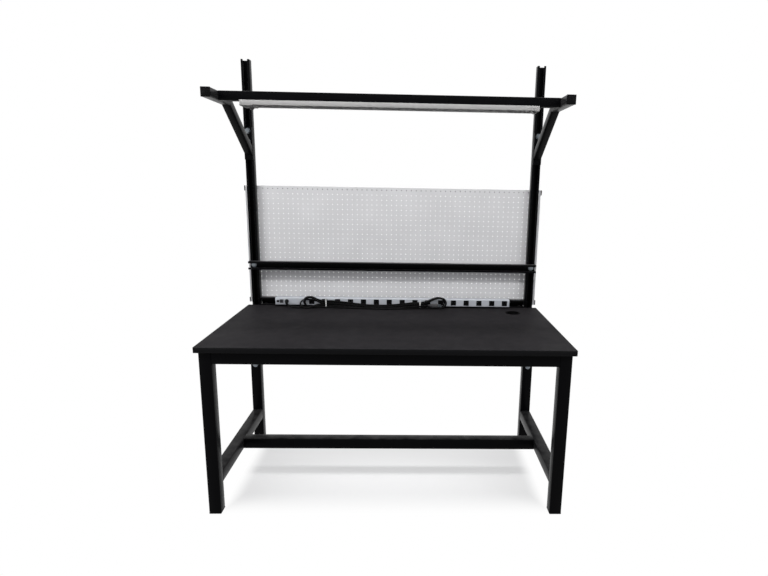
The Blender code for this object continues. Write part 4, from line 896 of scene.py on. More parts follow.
@dataclass
class Pegboard:
    """The perforated steel panel behind the uprights."""

    book: FinishBook
    pitch: float = 0.0254
    hole_radius: float = 0.0024
    hole_sides: int = 8
    columns: int = 60
    rows: int = 24
    merge_distance: float = 0.00002
    smooth_angle: float = 50.0

    def build(self) -> bpy.types.Object:
        """Perforates the sheet.

        Returns:
            The panel, which stands for the plain one.
        """
        low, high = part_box("pegboard_panel")
        first = Vector((low.x + self.pitch / 2, low.y, low.z + self.pitch / 2))
        clear_selection()
        bpy.ops.mesh.primitive_circle_add(
            vertices=self.hole_sides, radius=self.hole_radius, fill_type="NOTHING",
            location=first, rotation=(math.pi / 2, 0.0, 0.0),
        )
        panel = active()
        panel.name = "pegboard_sheet"
        seat(panel)
        share = self.pitch / 2 / self.hole_radius
        with Editing(panel, "EDGE"):
            bpy.ops.mesh.select_all(action="SELECT")
            bpy.ops.mesh.extrude_region_move()
            bpy.ops.transform.resize(value=(share, 1, share), center_override=first)
        corner = math.sqrt(2)
        with Editing(panel, "VERT") as edit:
            edit.choose(lambda place, _: self.is_corner(place - first))
            bpy.ops.transform.resize(value=(corner, 1, corner), center_override=first)
        for count, offset in ((self.columns, (self.pitch, 0, 0)), (self.rows, (0, 0, self.pitch))):
            modify(
                panel, "ARRAY", count=count, use_relative_offset=False,
                use_constant_offset=True, constant_offset_displace=offset,
                use_merge_vertices=True, merge_threshold=self.merge_distance,
            )
        with Editing(panel) as edit:
            bpy.ops.mesh.select_all(action="SELECT")
            bpy.ops.mesh.normals_make_consistent(inside=False)
            edit.choose(lambda _, normal: normal.y > 0)
            bpy.ops.mesh.flip_normals()
        modify(panel, "SOLIDIFY", thickness=high.y - low.y, offset=-1)
        smooth(panel, self.smooth_angle)
        return self.book.hand_over(panel, PANEL_PAINT, Body.BENCH.value, "pegboard_panel")

    def is_corner(self, place: Vector) -> bool:
        """Whether a point of one cell's outer ring lies on a diagonal."""
        away = math.hypot(place.x, place.z)
        return away > 2 * self.hole_radius and abs(abs(place.x) - abs(place.z)) < away / 4


# Power cord

# The height of the cord's middle where it lies on the worktop
REST = 0.74115

# How far before and behind a tie's middle a run's points lie
BESIDE_TIE = 0.012

# How many stretches a fold's half circle has
FOLD_STEPS = 9

# What keeps a division from meeting zero
GUARD = 1e-9


def curve_through(points: np.ndarray, step: float = 0.0, parts: int = 16) -> np.ndarray:
    """A smooth line through points.

    Args:
        points: the points, a row each.
        step: the longest stretch between two points of the line, or 0 to go by parts.
        parts: how many stretches lie between two points where no step is given.

    Returns:
        The line's points.
    """
    spans = np.linalg.norm(np.diff(points, axis=0), axis=1)
    slopes = np.diff(points, axis=0) / spans[:, None]
    before, after = spans[:-1, None], spans[1:, None]
    inner = (slopes[:-1] * after + slopes[1:] * before) / (before + after)
    tangents = np.vstack([slopes[:1], inner, slopes[-1:]])
    line = []
    for place, span in enumerate(spans):
        count = math.ceil(span / step) if step else parts
        share = (np.arange(count) / count)[:, None]
        line.append(
            points[place] * (2 * share**3 - 3 * share**2 + 1)
            + tangents[place] * span * (share**3 - 2 * share**2 + share)
            + points[place + 1] * (3 * share**2 - 2 * share**3)
            + tangents[place + 1] * span * (share**3 - share**2)
        )
    return np.vstack([*line, points[-1:]])


def tied(layer: int) -> tuple[float, float]:
    """The depth and height within a tie of a layer of the hank, counted from below."""
    return (0.294 if layer % 2 else 0.3, 0.7424 + 0.0064 * layer)


@dataclass(frozen=True)
class Run:
    """One run along the hank, by its depth and height in both ties and twice between them."""

    left: tuple[float, float]
    right: tuple[float, float]
    middle: tuple[float, float]
    past_middle: tuple[float, float]

    def points(self, left_tie: float, right_tie: float) -> list[Point]:
        """Lays the run from left to right.

        Args:
            left_tie: the left tie's place along the hank.
            right_tie: the right tie's.

        Returns:
            Its points.
        """
        stations = (
            (left_tie - BESIDE_TIE, self.left, self.middle, 0.0, 0.0),
            (left_tie + BESIDE_TIE, self.left, self.middle, 0.0, 0.0),
            (left_tie + 0.085, self.left, self.middle, 0.28, 0.25),
            (-0.19, self.left, self.middle, 0.7, 0.65),
            (-0.11, self.left, self.middle, 1.0, 1.0),
            (-0.03, self.right, self.past_middle, 1.0, 1.0),
            (0.035, self.right, self.past_middle, 0.65, 0.6),
            (0.085, self.right, self.past_middle, 0.25, 0.22),
            (right_tie - BESIDE_TIE, self.right, self.past_middle, 0.0, 0.0),
            (right_tie + BESIDE_TIE, self.right, self.past_middle, 0.0, 0.0),
        )
        return [
            (x, near[0] + (far[0] - near[0]) * aside, near[1] + (far[1] - near[1]) * up)
            for x, near, far, aside, up in stations
        ]


@dataclass(frozen=True)
class Fold:
    """One fold at an end of the hank: a half circle, and what leads to it and away from it."""

    before: tuple[Point, ...]
    end: float
    y: float
    lean: float
    after: tuple[Point, ...]

    def points(self, radius: float, foot: float) -> list[Point]:
        """Lays the fold.

        Args:
            radius: the half circle's radius.
            foot: the height of its foot.

        Returns:
            Its points, in the cord's direction: upwards at the right end, down at the left.
        """
        side = math.copysign(1, self.end)
        turn = []
        for part in range(FOLD_STEPS + 1):
            angle = side * (math.pi * part / FOLD_STEPS - math.pi / 2)
            turn.append((
                self.end - side * radius * (1 - math.cos(angle)),
                self.y + radius * math.sin(self.lean) * (math.sin(angle) - 1),
                foot + radius * math.cos(self.lean) * (math.sin(angle) + 1),
            ))
        return [*self.before, *turn, *self.after]


FREE_STRETCH = (
    (-0.5525, 0.304, 0.765), (-0.5525, 0.301, 0.765), (-0.5516, 0.2916, 0.764),
    (-0.5486, 0.2833, 0.7613), (-0.5435, 0.2763, 0.7575), (-0.5359, 0.271, 0.7531),
    (-0.5257, 0.2676, 0.7487), (-0.5127, 0.2666, 0.7449), (-0.4966, 0.2683, 0.7422),
    (-0.4773, 0.273, REST), (-0.4577, 0.2748, REST), (-0.42, 0.2775, REST),
    (-0.385, 0.2815, REST),
)
RUNS = (
    Run((0.2838, 0.7411), (0.2838, 0.7411), (0.265, 0.7411), (0.264, 0.7411)),
    Run(tied(3), tied(3), (0.279, 0.7489), (0.28, 0.7487)),
    Run(tied(0), tied(0), (0.2925, 0.7411), (0.2945, 0.7411)),
    Run(tied(5), tied(4), (0.2836, 0.7562), (0.285, 0.7563)),
    Run(tied(2), tied(1), (0.2835, 0.7411), (0.2855, 0.7411)),
    Run(tied(4), tied(2), (0.288, 0.7487), (0.29, 0.7489)),
    Run(tied(1), (0.2843, 0.7498), (0.2742, 0.7411), (0.273, 0.7411)),
)
FOLDS = (
    Fold(
        ((0.19, 0.285, REST),), 0.2775, 0.2855, 0.0,
        ((0.21, 0.2865, 0.791), (0.175, 0.29, 0.776)),
    ),
    Fold(
        ((-0.375, 0.2925, 0.768), (-0.405, 0.289, 0.784)), -0.4565, 0.2865, -0.14,
        ((-0.405, 0.296, REST + 0.001), (-0.375, 0.2985, REST + 0.001)),
    ),
    Fold(((0.18, 0.302, REST + 0.001),), 0.27, 0.3045, 0.0, ((0.2, 0.303, 0.787),)),
    Fold(
        ((-0.375, 0.2942, 0.78), (-0.405, 0.2942, 0.79)), -0.464, 0.2945, -0.17,
        ((-0.405, 0.3032, REST + 0.008), (-0.375, 0.3012, 0.755)),
    ),
    Fold(
        ((0.18, 0.295, REST + 0.003),), 0.2785, 0.295, 0.0,
        ((0.2, 0.2965, 0.78), (0.175, 0.2985, 0.768)),
    ),
    Fold(
        ((-0.375, 0.3002, 0.769), (-0.41, 0.303, 0.7742)), -0.479, 0.304, 0.8,
        ((-0.432, 0.266, REST + 0.0012), (-0.412, 0.2705, REST + 0.0062),
         (-0.388, 0.2815, REST + 0.0092)),
    ),
)
INTO_THE_PLUG = (
    (0.125, 0.2843, 0.751), (0.15, 0.2852, 0.754), (0.1776, 0.286, 0.7562),
    (0.1876, 0.286, 0.7562),
)


@dataclass
class HankLay:
    """The wound cord as it comes to rest between strip, worktop, ties and plug.

    Its first shape is laid from given points. Then it is let go, a chain of links that evens out
    its bends, keeps its length and gives way to the ties, to itself and to what it lies against.
    """

    diameter: float
    ties: tuple[float, float]
    link: float = 0.006
    apart: float = 0.00025
    fold_radius: float = 0.0264
    least_bend: float = 0.0275

    # What holds it, and what it meets
    strip_face: float = 0.3124
    held_start: float = 0.125
    first_in_front: float = 0.8
    last_in_front: float = 0.195
    tie_depths: tuple[float, float] = (0.2938, 0.3002)
    tie_heights: tuple[float, float] = (0.74245, 0.7751)
    front_depth: float = 0.2842
    tie_reach: float = 0.02
    plug_low: Point = (0.1836, 0.2695, 0.74135)
    plug_high: Point = (0.2501, 0.3025, 0.77105)

    # How strongly each round moves it
    sinking: float = 0.000004
    easing: float = 0.2
    opening: float = 0.25
    stretching: float = 0.25
    pulling: float = 0.3
    pushing: float = 1.2

    # How long it is followed, and how closely
    fine_step: float = 0.001
    rounds: int = 300
    length_rounds: int = 3
    search_rounds: int = 20
    search_margin: float = 0.004
    search_links: int = 8
    thin_within: float = 0.00035
    thin_links: int = 9

    def __post_init__(self) -> None:
        """Lays the first shape and marks the links that are held or pass in front of the ties."""
        self.chain = self.laid_by_hand()
        spans = np.linalg.norm(np.diff(self.chain, axis=0), axis=1)
        way = np.concatenate([[0], np.cumsum(spans)])
        self.free = np.where(way < self.held_start, 0.0, 1.0)
        self.free[-1] = 0.0
        order = np.arange(len(self.chain)) * self.link
        front = (order < self.first_in_front) | (order[::-1] < self.last_in_front)
        self.front = front.astype(float)

    def laid_by_hand(self) -> np.ndarray:
        """Winds the first shape, run by run.

        Returns:
            Its points, one link apart.
        """
        points = list(FREE_STRETCH)
        for place, run in enumerate(RUNS):
            leg = run.points(*self.ties)
            points += leg[::-1] if place % 2 else leg
            if place < len(FOLDS):
                points += FOLDS[place].points(self.fold_radius, REST)
        # The last run has its own points from the right tie on, into the plug
        points[-2:] = INTO_THE_PLUG
        line = curve_through(np.array(points), self.fine_step)
        way = np.concatenate([[0], np.cumsum(np.linalg.norm(np.diff(line, axis=0), axis=1))])
        marks = np.linspace(0, way[-1], round(way[-1] / self.link) + 1)
        return np.stack([np.interp(marks, way, line[:, axis]) for axis in range(3)], 1)

    def settle(self) -> None:
        """Lets the cord settle, round by round."""
        loose = self.free > 0
        for turn in range(self.rounds):
            if turn % self.search_rounds == 0:
                first, second = self.neighbours()
            self.even_out()
            self.keep_length()
            self.chain[:, 2] -= self.sinking * self.free
            self.hold_in_ties()
            self.part(first, second)
            self.keep_out_of_plug()
            self.chain[loose, 2] = np.maximum(self.chain[loose, 2], REST)
            behind = self.strip_face - self.diameter / 2
            self.chain[loose, 1] = np.minimum(self.chain[loose, 1], behind)

    def neighbours(self) -> tuple[np.ndarray, np.ndarray]:
        """Finds the links that may touch within the next rounds.

        Returns:
            The first and second places of each pair.
        """
        first, second = np.triu_indices(len(self.chain), self.search_links)
        gap = ((self.chain[first] - self.chain[second]) ** 2).sum(1)
        near = gap < (self.diameter + self.apart + self.search_margin) ** 2
        return first[near], second[near]

    def even_out(self) -> None:
        """Eases the cord's bends and opens those that are too tight."""
        chain, loose = self.chain, self.free[:, None]
        sag, ease = np.zeros_like(chain), np.zeros_like(chain)
        sag[1:-1] = (chain[:-2] + chain[2:]) / 2 - chain[1:-1]
        ease[2:-2] = sag[2:-2] - (sag[1:-3] + sag[3:-1]) / 2
        chain += self.easing * ease * loose
        before, here, after = chain[:-4], chain[2:-2], chain[4:]
        spans = ((before, here), (here, after), (before, after))
        sides = [np.linalg.norm(end - start, axis=1) for start, end in spans]
        area = np.linalg.norm(np.cross(here - before, after - before), axis=1) / 2
        radius = sides[0] * sides[1] * sides[2] / np.maximum(4 * area, GUARD)
        tight = np.zeros(len(chain))
        tight[2:-2] = np.clip((self.least_bend / np.maximum(radius, GUARD) - 1) * 2, 0, 1)
        chain += (self.opening * tight)[:, None] * sag * loose

    def keep_length(self) -> None:
        """Brings every link back to its length."""
        chain, loose = self.chain, self.free[:, None]
        for _ in range(self.length_rounds):
            links = np.diff(chain, axis=0)
            length = np.linalg.norm(links, axis=1)
            shift = links * ((length - self.link) / length)[:, None] * self.stretching
            chain[:-1] += shift * loose[:-1]
            chain[1:] -= shift * loose[1:]

    def hold_in_ties(self) -> None:
        """Draws the runs into the ties, and the first and last run in front of them."""
        x, y, z = self.chain.T
        reach = [np.exp(-(((x - tie) / self.tie_reach) ** 2)) for tie in self.ties]
        pull = np.maximum(*reach) * self.pulling * self.free
        within, ahead = pull * (1 - self.front), pull * self.front
        y += (np.clip(y, *self.tie_depths) - y) * within
        y += (np.minimum(y, self.front_depth) - y) * ahead
        z += (np.clip(z, *self.tie_heights) - z) * within

    def part(self, first: np.ndarray, second: np.ndarray) -> None:
        """Moves apart what is closer than the cord is thick.

        Args:
            first: the first place of each pair that may touch.
            second: the second place.
        """
        room = self.diameter + self.apart
        between = self.chain[first] - self.chain[second]
        gap = np.sqrt((between**2).sum(1))
        touch = gap < room
        push = between[touch] * ((room - gap[touch]) / 2 / np.maximum(gap[touch], GUARD))[:, None]
        total, contacts = np.zeros_like(self.chain), np.zeros(len(self.chain))
        for places, share in ((first[touch], push), (second[touch], -push)):
            np.add.at(total, places, share)
            np.add.at(contacts, places, 1)
        self.chain += total * (self.pushing / np.maximum(contacts, 1) * self.free)[:, None]

    def keep_out_of_plug(self) -> None:
        """Moves what is within the plug out of it, the shortest way."""
        low, high = np.array(self.plug_low), np.array(self.plug_high)
        inside = ((self.chain > low) & (self.chain < high)).all(1) & (self.free > 0)
        for place in np.flatnonzero(inside):
            point = self.chain[place]
            ways = [(axis, side[axis]) for axis in (1, 2) for side in (low, high)]
            axis, value = min(ways, key=lambda way: abs(point[way[0]] - way[1]))
            point[axis] = value

    def thinned(self) -> np.ndarray:
        """Leaves out the points that a smooth line doesn't need.

        Returns:
            The points that are left, to a tenth of a millimetre.
        """
        kept = [*range(0, len(self.chain), 2), len(self.chain) - 1]
        thinner = True
        while thinner:
            thinner = False
            place = 1
            while place < len(kept) - 1:
                trial = kept[:place] + kept[place + 1 :]
                spare = trial[place] - trial[place - 1] <= self.thin_links
                if spare and self.strays(trial, place) < self.thin_within:
                    kept = trial
                    thinner = True
                    place += 1
                place += 1
        return np.round(self.chain[kept], 4)

    def strays(self, trial: list[int], place: int) -> float:
        """How far a smooth line through fewer points strays from the chain.

        Args:
            trial: the points that the line goes through.
            place: where in the trial a point has been left out.

        Returns:
            The greatest distance near that place.
        """
        low, high = max(place - 3, 0), min(place + 2, len(trial) - 1)
        line = curve_through(self.chain[trial[max(low - 1, 0) : high + 2]])
        stretch = self.chain[trial[low] : trial[high] + 1]
        apart = ((stretch[:, None] - line[None]) ** 2).sum(2)
        return math.sqrt(apart.min(1).max())


@dataclass
class CordTie:
    """A white tie round the hank: its band, its head and the cut end that stands up from it."""

    book: FinishBook
    side: str
    x: float
    low: float
    high: float
    y: float = 0.2971
    half_width: float = 0.0077
    corner: float = 0.0044
    width: float = 0.005
    thickness: float = 0.0009
    head_size: Point = (0.0062, 0.0038, 0.005)
    head_ahead: float = 0.0026
    head_below: float = 0.006
    head_wall: float = 0.0009
    head_depth: float = 0.0015
    tail_width: float = 0.0042
    tail_thickness: float = 0.0011
    tail_top: float = 0.784
    soft_edge: float = 0.0003

    def build(self) -> bpy.types.Object:
        """Puts the tie together.

        Returns:
            The tie.
        """
        name = f"cord_tie_{self.side}"
        front = self.y - self.half_width
        seat_of_head = Vector((self.x, front - self.head_ahead, self.high - self.head_below))
        band = self.band(name)
        head = blank_box(f"{name}_head", seat_of_head, self.head_size)
        with Editing(head) as edit:
            edit.choose(lambda _, normal: normal.z > FACING)
            bpy.ops.mesh.inset(thickness=self.head_wall)
            sunk = (0, 0, -self.head_depth)
            bpy.ops.mesh.extrude_region_move(TRANSFORM_OT_translate={"value": sunk})
        tail_height = self.tail_top - seat_of_head.z
        tail = blank_box(
            f"{name}_tail", seat_of_head + Vector((0, 0, tail_height / 2)),
            (self.tail_width, self.tail_thickness, tail_height),
        )
        for part in (head, tail):
            self.soften(part)
        tie = smooth(join(name, [band, head, tail]), 40.0)
        return self.book.hand_over(tie, TIE_NYLON, Body.BENCH.value)

    def band(self, name: str) -> bpy.types.Object:
        """Bends the band round the hank.

        Args:
            name: the band's name.

        Returns:
            The band: a ring whose quarters are drawn apart to a round-cornered frame.
        """
        middle = Vector((self.x, self.y, (self.low + self.high) / 2))
        band = blank_rod(name, middle, Along.X, self.corner, self.width, 24, "NOTHING")
        halves = ((Along.Y.value, self.half_width), (Along.Z.value, (self.high - self.low) / 2))
        with Editing(band, "VERT") as edit:
            for axis, half in halves:
                for sign in (-1, 1):
                    shift = [0.0, 0.0, 0.0]
                    shift[axis] = sign * (half - self.corner)
                    edit.choose(lambda place, _: (place[axis] - middle[axis]) * sign > NEARLY)
                    bpy.ops.transform.translate(value=shift)
        modify(band, "SOLIDIFY", thickness=self.thickness, offset=1)
        return self.soften(band)

    def soften(self, part: bpy.types.Object) -> bpy.types.Object:
        """Rounds a part's edges a little."""
        return modify(part, "BEVEL", width=self.soft_edge, segments=2, angle_limit=math.radians(50))


@dataclass
class Plug:
    """The plug: a moulded body with a finger grip and a ribbed neck, and its blades."""

    book: FinishBook
    cord_diameter: float
    blade_reach: float = 0.0159
    blade_aside: float = 0.00635
    blade_lift: float = 0.002
    blade_thickness: float = 0.0015
    blade_height: float = 0.0064
    blade_corner: float = 0.0014
    blade_edge: float = 0.0003
    pin_reach: float = 0.019
    pin_drop: float = 0.0059
    pin_radius: float = 0.0024
    pin_corner: float = 0.001
    root: float = 0.002
    face_depth: float = 0.003
    face_inset: float = 0.0006
    face_corner: float = 0.005
    neck: float = 0.012
    neck_wall: float = 0.0009
    rib_count: int = 5
    rib_pitch: float = 0.0026
    rib_start: float = 0.0004
    rib_radius: float = 0.0072
    rib_taper: float = 0.0004
    rib_width: float = 0.0018
    rib_edge: float = 0.0004
    sleeve_overlap: float = 0.001

    # Towards the cord: how far on the body's next ring lies, and its depth and height as shares
    ring_shares: tuple[Point, ...] = (
        (0.004, 1.0, 1.0), (0.002, 0.93, 0.95), (0.006, 0.86, 0.93), (0.008, 0.84, 0.92),
        (0.006, 0.9, 0.9), (0.005, 0.86, 0.84), (0.0035, 0.72, 0.74),
    )

    def build(self) -> list[bpy.types.Object]:
        """Models the plug where the plain one lies.

        Returns:
            The body, which stands for the plain plug, and the blades.
        """
        low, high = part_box("plug")
        middle = (low + high) / 2
        face = Vector((high.x - self.pin_reach, middle.y, middle.z))
        body = self.body(face, high - low)
        left = face - Vector((self.face_depth + sum(ring[0] for ring in self.ring_shares), 0, 0))
        plug = smooth(join("plug_body", [body, *self.sleeve(left)]), 45.0)
        blades = smooth(join("plug_blades", self.contacts(face)), 40.0)
        return [
            self.book.hand_over(plug, PLUG_RUBBER, Body.BENCH.value, "plug"),
            self.book.hand_over(blades, ZINC, Body.BENCH.value),
        ]

    def body(self, face: Vector, size: Vector) -> bpy.types.Object:
        """Draws the body back from its face, ring by ring.

        Args:
            face: the middle of the face that the blades stand on.
            size: the plain plug's size.

        Returns:
            The body.
        """
        start = face - Vector((self.face_depth / 2, 0, 0))
        sides = (size.y - self.face_inset, size.z - self.face_inset)
        body = blank_box("plug_body", start, (self.face_depth, *sides))
        with Editing(body, "EDGE") as edit:
            edit.choose(lambda _, way: abs(way.x) > FACING)
            bpy.ops.mesh.bevel(offset=self.face_corner, segments=4, affect="EDGES")
        wide, tall = 1.0, 1.0
        with Editing(body) as edit:
            edit.choose(lambda _, normal: normal.x < -FACING)
            for shift, next_wide, next_tall in self.ring_shares:
                bpy.ops.mesh.extrude_region_move(TRANSFORM_OT_translate={"value": (-shift, 0, 0)})
                change = (1, next_wide / wide, next_tall / tall)
                bpy.ops.transform.resize(value=change, center_override=face)
                wide, tall = next_wide, next_tall
        return modify(body, "SUBSURF", levels=1, render_levels=1)

    def sleeve(self, left: Vector) -> list[bpy.types.Object]:
        """Makes the neck that keeps the cord from kinking.

        Args:
            left: the middle of the body's end.

        Returns:
            The sleeve and its ribs.
        """
        middle = left - Vector((self.neck / 2 - self.sleeve_overlap, 0, 0))
        radius = self.cord_diameter / 2 + self.neck_wall
        length = self.neck + 2 * self.sleeve_overlap
        made = [blank_rod("plug_sleeve", middle, Along.X, radius, length, 20)]
        for place in range(self.rib_count):
            middle = left - Vector((self.rib_start + self.rib_pitch * place, 0, 0))
            radius = self.rib_radius - self.rib_taper * place
            rib = blank_rod(f"plug_rib_{place}", middle, Along.X, radius, self.rib_width, 20)
            made.append(modify(rib, "BEVEL", width=self.rib_edge, segments=2))
        return made

    def contacts(self, face: Vector) -> list[bpy.types.Object]:
        """Makes the two blades and the earth pin.

        Args:
            face: the middle of the face that they stand on.

        Returns:
            The blades and the pin, each rooted in the body.
        """
        made = []
        tip = face.x + self.blade_reach
        for side in (-1, 1):
            aside = face.y + side * self.blade_aside
            middle = Vector(((face.x + tip - self.root) / 2, aside, face.z + self.blade_lift))
            size = (self.blade_reach + self.root, self.blade_thickness, self.blade_height)
            blade = blank_box("plug_blade", middle, size)
            with Editing(blade, "EDGE") as edit:
                edit.choose(lambda place, way: place.x > tip - NEARLY and abs(way.y) > FACING)
                bpy.ops.mesh.bevel(offset=self.blade_corner, segments=2, affect="EDGES")
            made.append(modify(blade, "BEVEL", width=self.blade_edge, segments=2))
        end = face.x + self.pin_reach
        middle = Vector(((face.x + end - self.root) / 2, face.y, face.z - self.pin_drop))
        length = self.pin_reach + self.root
        pin = blank_rod("plug_pin", middle, Along.X, self.pin_radius, length, 16)
        with Editing(pin) as edit:
            edit.choose(lambda place, normal: normal.x > FACING and place.x > end - NEARLY)
            bpy.ops.mesh.bevel(offset=self.pin_corner, segments=3, affect="EDGES")
        return [*made, pin]


@dataclass
class PowerCord:
    """The strip's cord, wound to a hank on the worktop, its ties and its plug."""

    book: FinishBook
    diameter: float = 0.0085
    length: float = 5.44
    step: float = 0.005
    tie_places: tuple[float, float] = (-0.346, 0.141)
    tie_low: float = 0.738
    tie_tops: tuple[float, float] = (0.7768, 0.7711)

    def build(self) -> list[bpy.types.Object]:
        """Lays the cord and puts its ties and plug on it.

        Returns:
            The cord, its ties and its plug.
        """
        lay = HankLay(self.diameter, self.tie_places)
        lay.settle()
        line = [Vector(point) for point in curve_through(lay.thinned(), self.step)]
        curve = bpy.data.curves.new("power_cord", "CURVE")
        curve.dimensions = "3D"
        curve.bevel_depth = self.diameter / 2
        curve.bevel_resolution = 3
        curve.use_fill_caps = True
        spline = curve.splines.new("POLY")
        spline.use_smooth = True
        spline.points.add(len(line) - 1)
        for point, place in zip(spline.points, line):
            point.co = (*place, 1)
        cord = bpy.data.objects.new("power_cord", curve)
        bpy.context.scene.collection.objects.link(cord)
        self.book.hand_over(cord, CORD_JACKET, Body.BENCH.value, "cord", "cord_hank")
        ties = [
            CordTie(self.book, side, x, self.tie_low, top).build()
            for side, x, top in zip(("left", "right"), self.tie_places, self.tie_tops)
        ]
        plug = Plug(self.book, self.diameter).build()
        return [cord, *ties, *plug]


# Weld seams


@dataclass(frozen=True)
class Seam:
    """One straight fillet weld between two welded tubes."""

    name: str
    start: Point
    end: Point
    body: Body = Body.BENCH


@dataclass
class WeldSeams:
    """The painted weld beads at the frame's joints."""

    book: FinishBook
    radius: float = 0.0026
    ripple: float = 0.0042
    swell: float = 1.16
    pinch: float = 0.55
    inset: float = 0.003
    stretcher_inset: float = 0.004
    plate_thickness: float = 0.006
    brace_slope: float = 0.64
    foot_inset: float = 0.001

    def build(self) -> list[bpy.types.Object]:
        """Lays every bead.

        Returns:
            The beads.
        """
        every = (self.stretcher_seams, self.post_seams, self.apron_seams, self.arm_seams)
        return [self.bead(seam) for found in every for seam in found()]

    def stretcher_seams(self) -> Iterator[Seam]:
        """The beads above and below the side stretchers' ends."""
        for side in ("left", "right"):
            low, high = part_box(f"side_stretcher_{side}")
            first, last = low.x + self.stretcher_inset, high.x - self.stretcher_inset
            for end, y in (("front", low.y), ("rear", high.y)):
                for edge, z in (("low", low.z), ("high", high.z)):
                    yield Seam(f"weld_stretcher_{side}_{end}_{edge}", (first, y, z), (last, y, z))

    def post_seams(self) -> Iterator[Seam]:
        """The upright beads at the ends of the cross stretcher and the crossbar."""
        for name, node, inset, body in (
            ("cross", "cross_stretcher", self.stretcher_inset, Body.BENCH),
            ("crossbar", "crossbar", self.inset, Body.OVERHEAD),
        ):
            low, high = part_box(node)
            for end, x in (("left", low.x), ("right", high.x)):
                for edge, y in (("front", low.y), ("rear", high.y)):
                    start, stop = (x, y, low.z + inset), (x, y, high.z - inset)
                    yield Seam(f"weld_{name}_{end}_{edge}", start, stop, body)

    def apron_seams(self) -> Iterator[Seam]:
        """The beads under the ends of the front and rear aprons."""
        for side in ("left", "right"):
            for end in ("front", "rear"):
                low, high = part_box(f"apron_{end}")
                x = low.x if side == "left" else high.x
                start, stop = (x, low.y + self.inset, low.z), (x, high.y - self.inset, low.z)
                yield Seam(f"weld_apron_{end}_{side}", start, stop)

    def arm_seams(self) -> Iterator[Seam]:
        """The beads round each brace's foot and at its mitre with the arm."""
        for side in ("left", "right"):
            low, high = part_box(f"arm_{side}")
            brace_low, brace_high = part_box(f"brace_{side}")
            plate = brace_high.y - self.plate_thickness
            foot = low.z - self.brace_slope * (plate - brace_low.y)
            crown = foot + (high.z - low.z) * math.hypot(1.0, self.brace_slope)
            first, last = low.x + self.inset, high.x - self.inset
            for edge, y, z in (
                ("foot_low", plate, foot),
                ("foot_high", plate, crown),
                ("mitre_low", brace_low.y, low.z),
                ("mitre_high", high.y, high.z),
            ):
                yield Seam(f"weld_{edge}_{side}", (first, y, z), (last, y, z), Body.OVERHEAD)
            for edge, x in (("left", low.x + self.foot_inset), ("right", high.x - self.foot_inset)):
                start, stop = (x, plate, foot), (x, plate, crown)
                yield Seam(f"weld_foot_{edge}_{side}", start, stop, Body.OVERHEAD)

    def bead(self, seam: Seam) -> bpy.types.Object:
        """One rippled bead with pinched ends.

        Args:
            seam: its place.

        Returns:
            The bead.
        """
        start, end = Vector(seam.start), Vector(seam.end)
        way = end - start
        along = max(Along, key=lambda axis: abs(way[axis.value]))
        piece = blank_rod(seam.name, (start + end) / 2, along, self.radius, way.length, 10)
        rings = max(2, round(way.length / self.ripple) * 2 - 1)
        unit = way.normalized()
        with Editing(piece, "EDGE") as edit:
            edit.choose(lambda _, direction: abs(direction.dot(unit)) > FACING)
            bpy.ops.mesh.subdivide(number_cuts=rings)
        step = way.length / (rings + 1)
        within = way.length - NEARLY
        with Editing(piece, "VERT") as edit:
            edit.choose(lambda place, _: round((place - start).dot(unit) / step) % 2 == 1)
            self.resize(self.swell, along, start)
            edit.choose(lambda place, _: not NEARLY < (place - start).dot(unit) < within)
            self.resize(self.pinch, along, start)
        return self.book.hand_over(smooth(piece, 60.0), STEEL, seam.body.value)

    def resize(self, share: float, along: Along, middle: Vector) -> None:
        """Scales what is selected across the bead.

        Args:
            share: how much larger it gets.
            along: the bead's axis, along which it keeps its size.
            middle: a point of that axis.
        """
        change = [share] * 3
        change[along.value] = 1.0
        bpy.ops.transform.resize(value=change, center_override=middle)


# Studio


@dataclass(frozen=True)
class Softbox:
    """One area lamp that looks at the bench, and whether shiny surfaces mirror it."""

    name: str
    place: Point
    target: Point
    size: tuple[float, float]
    power: float
    shows: bool = True


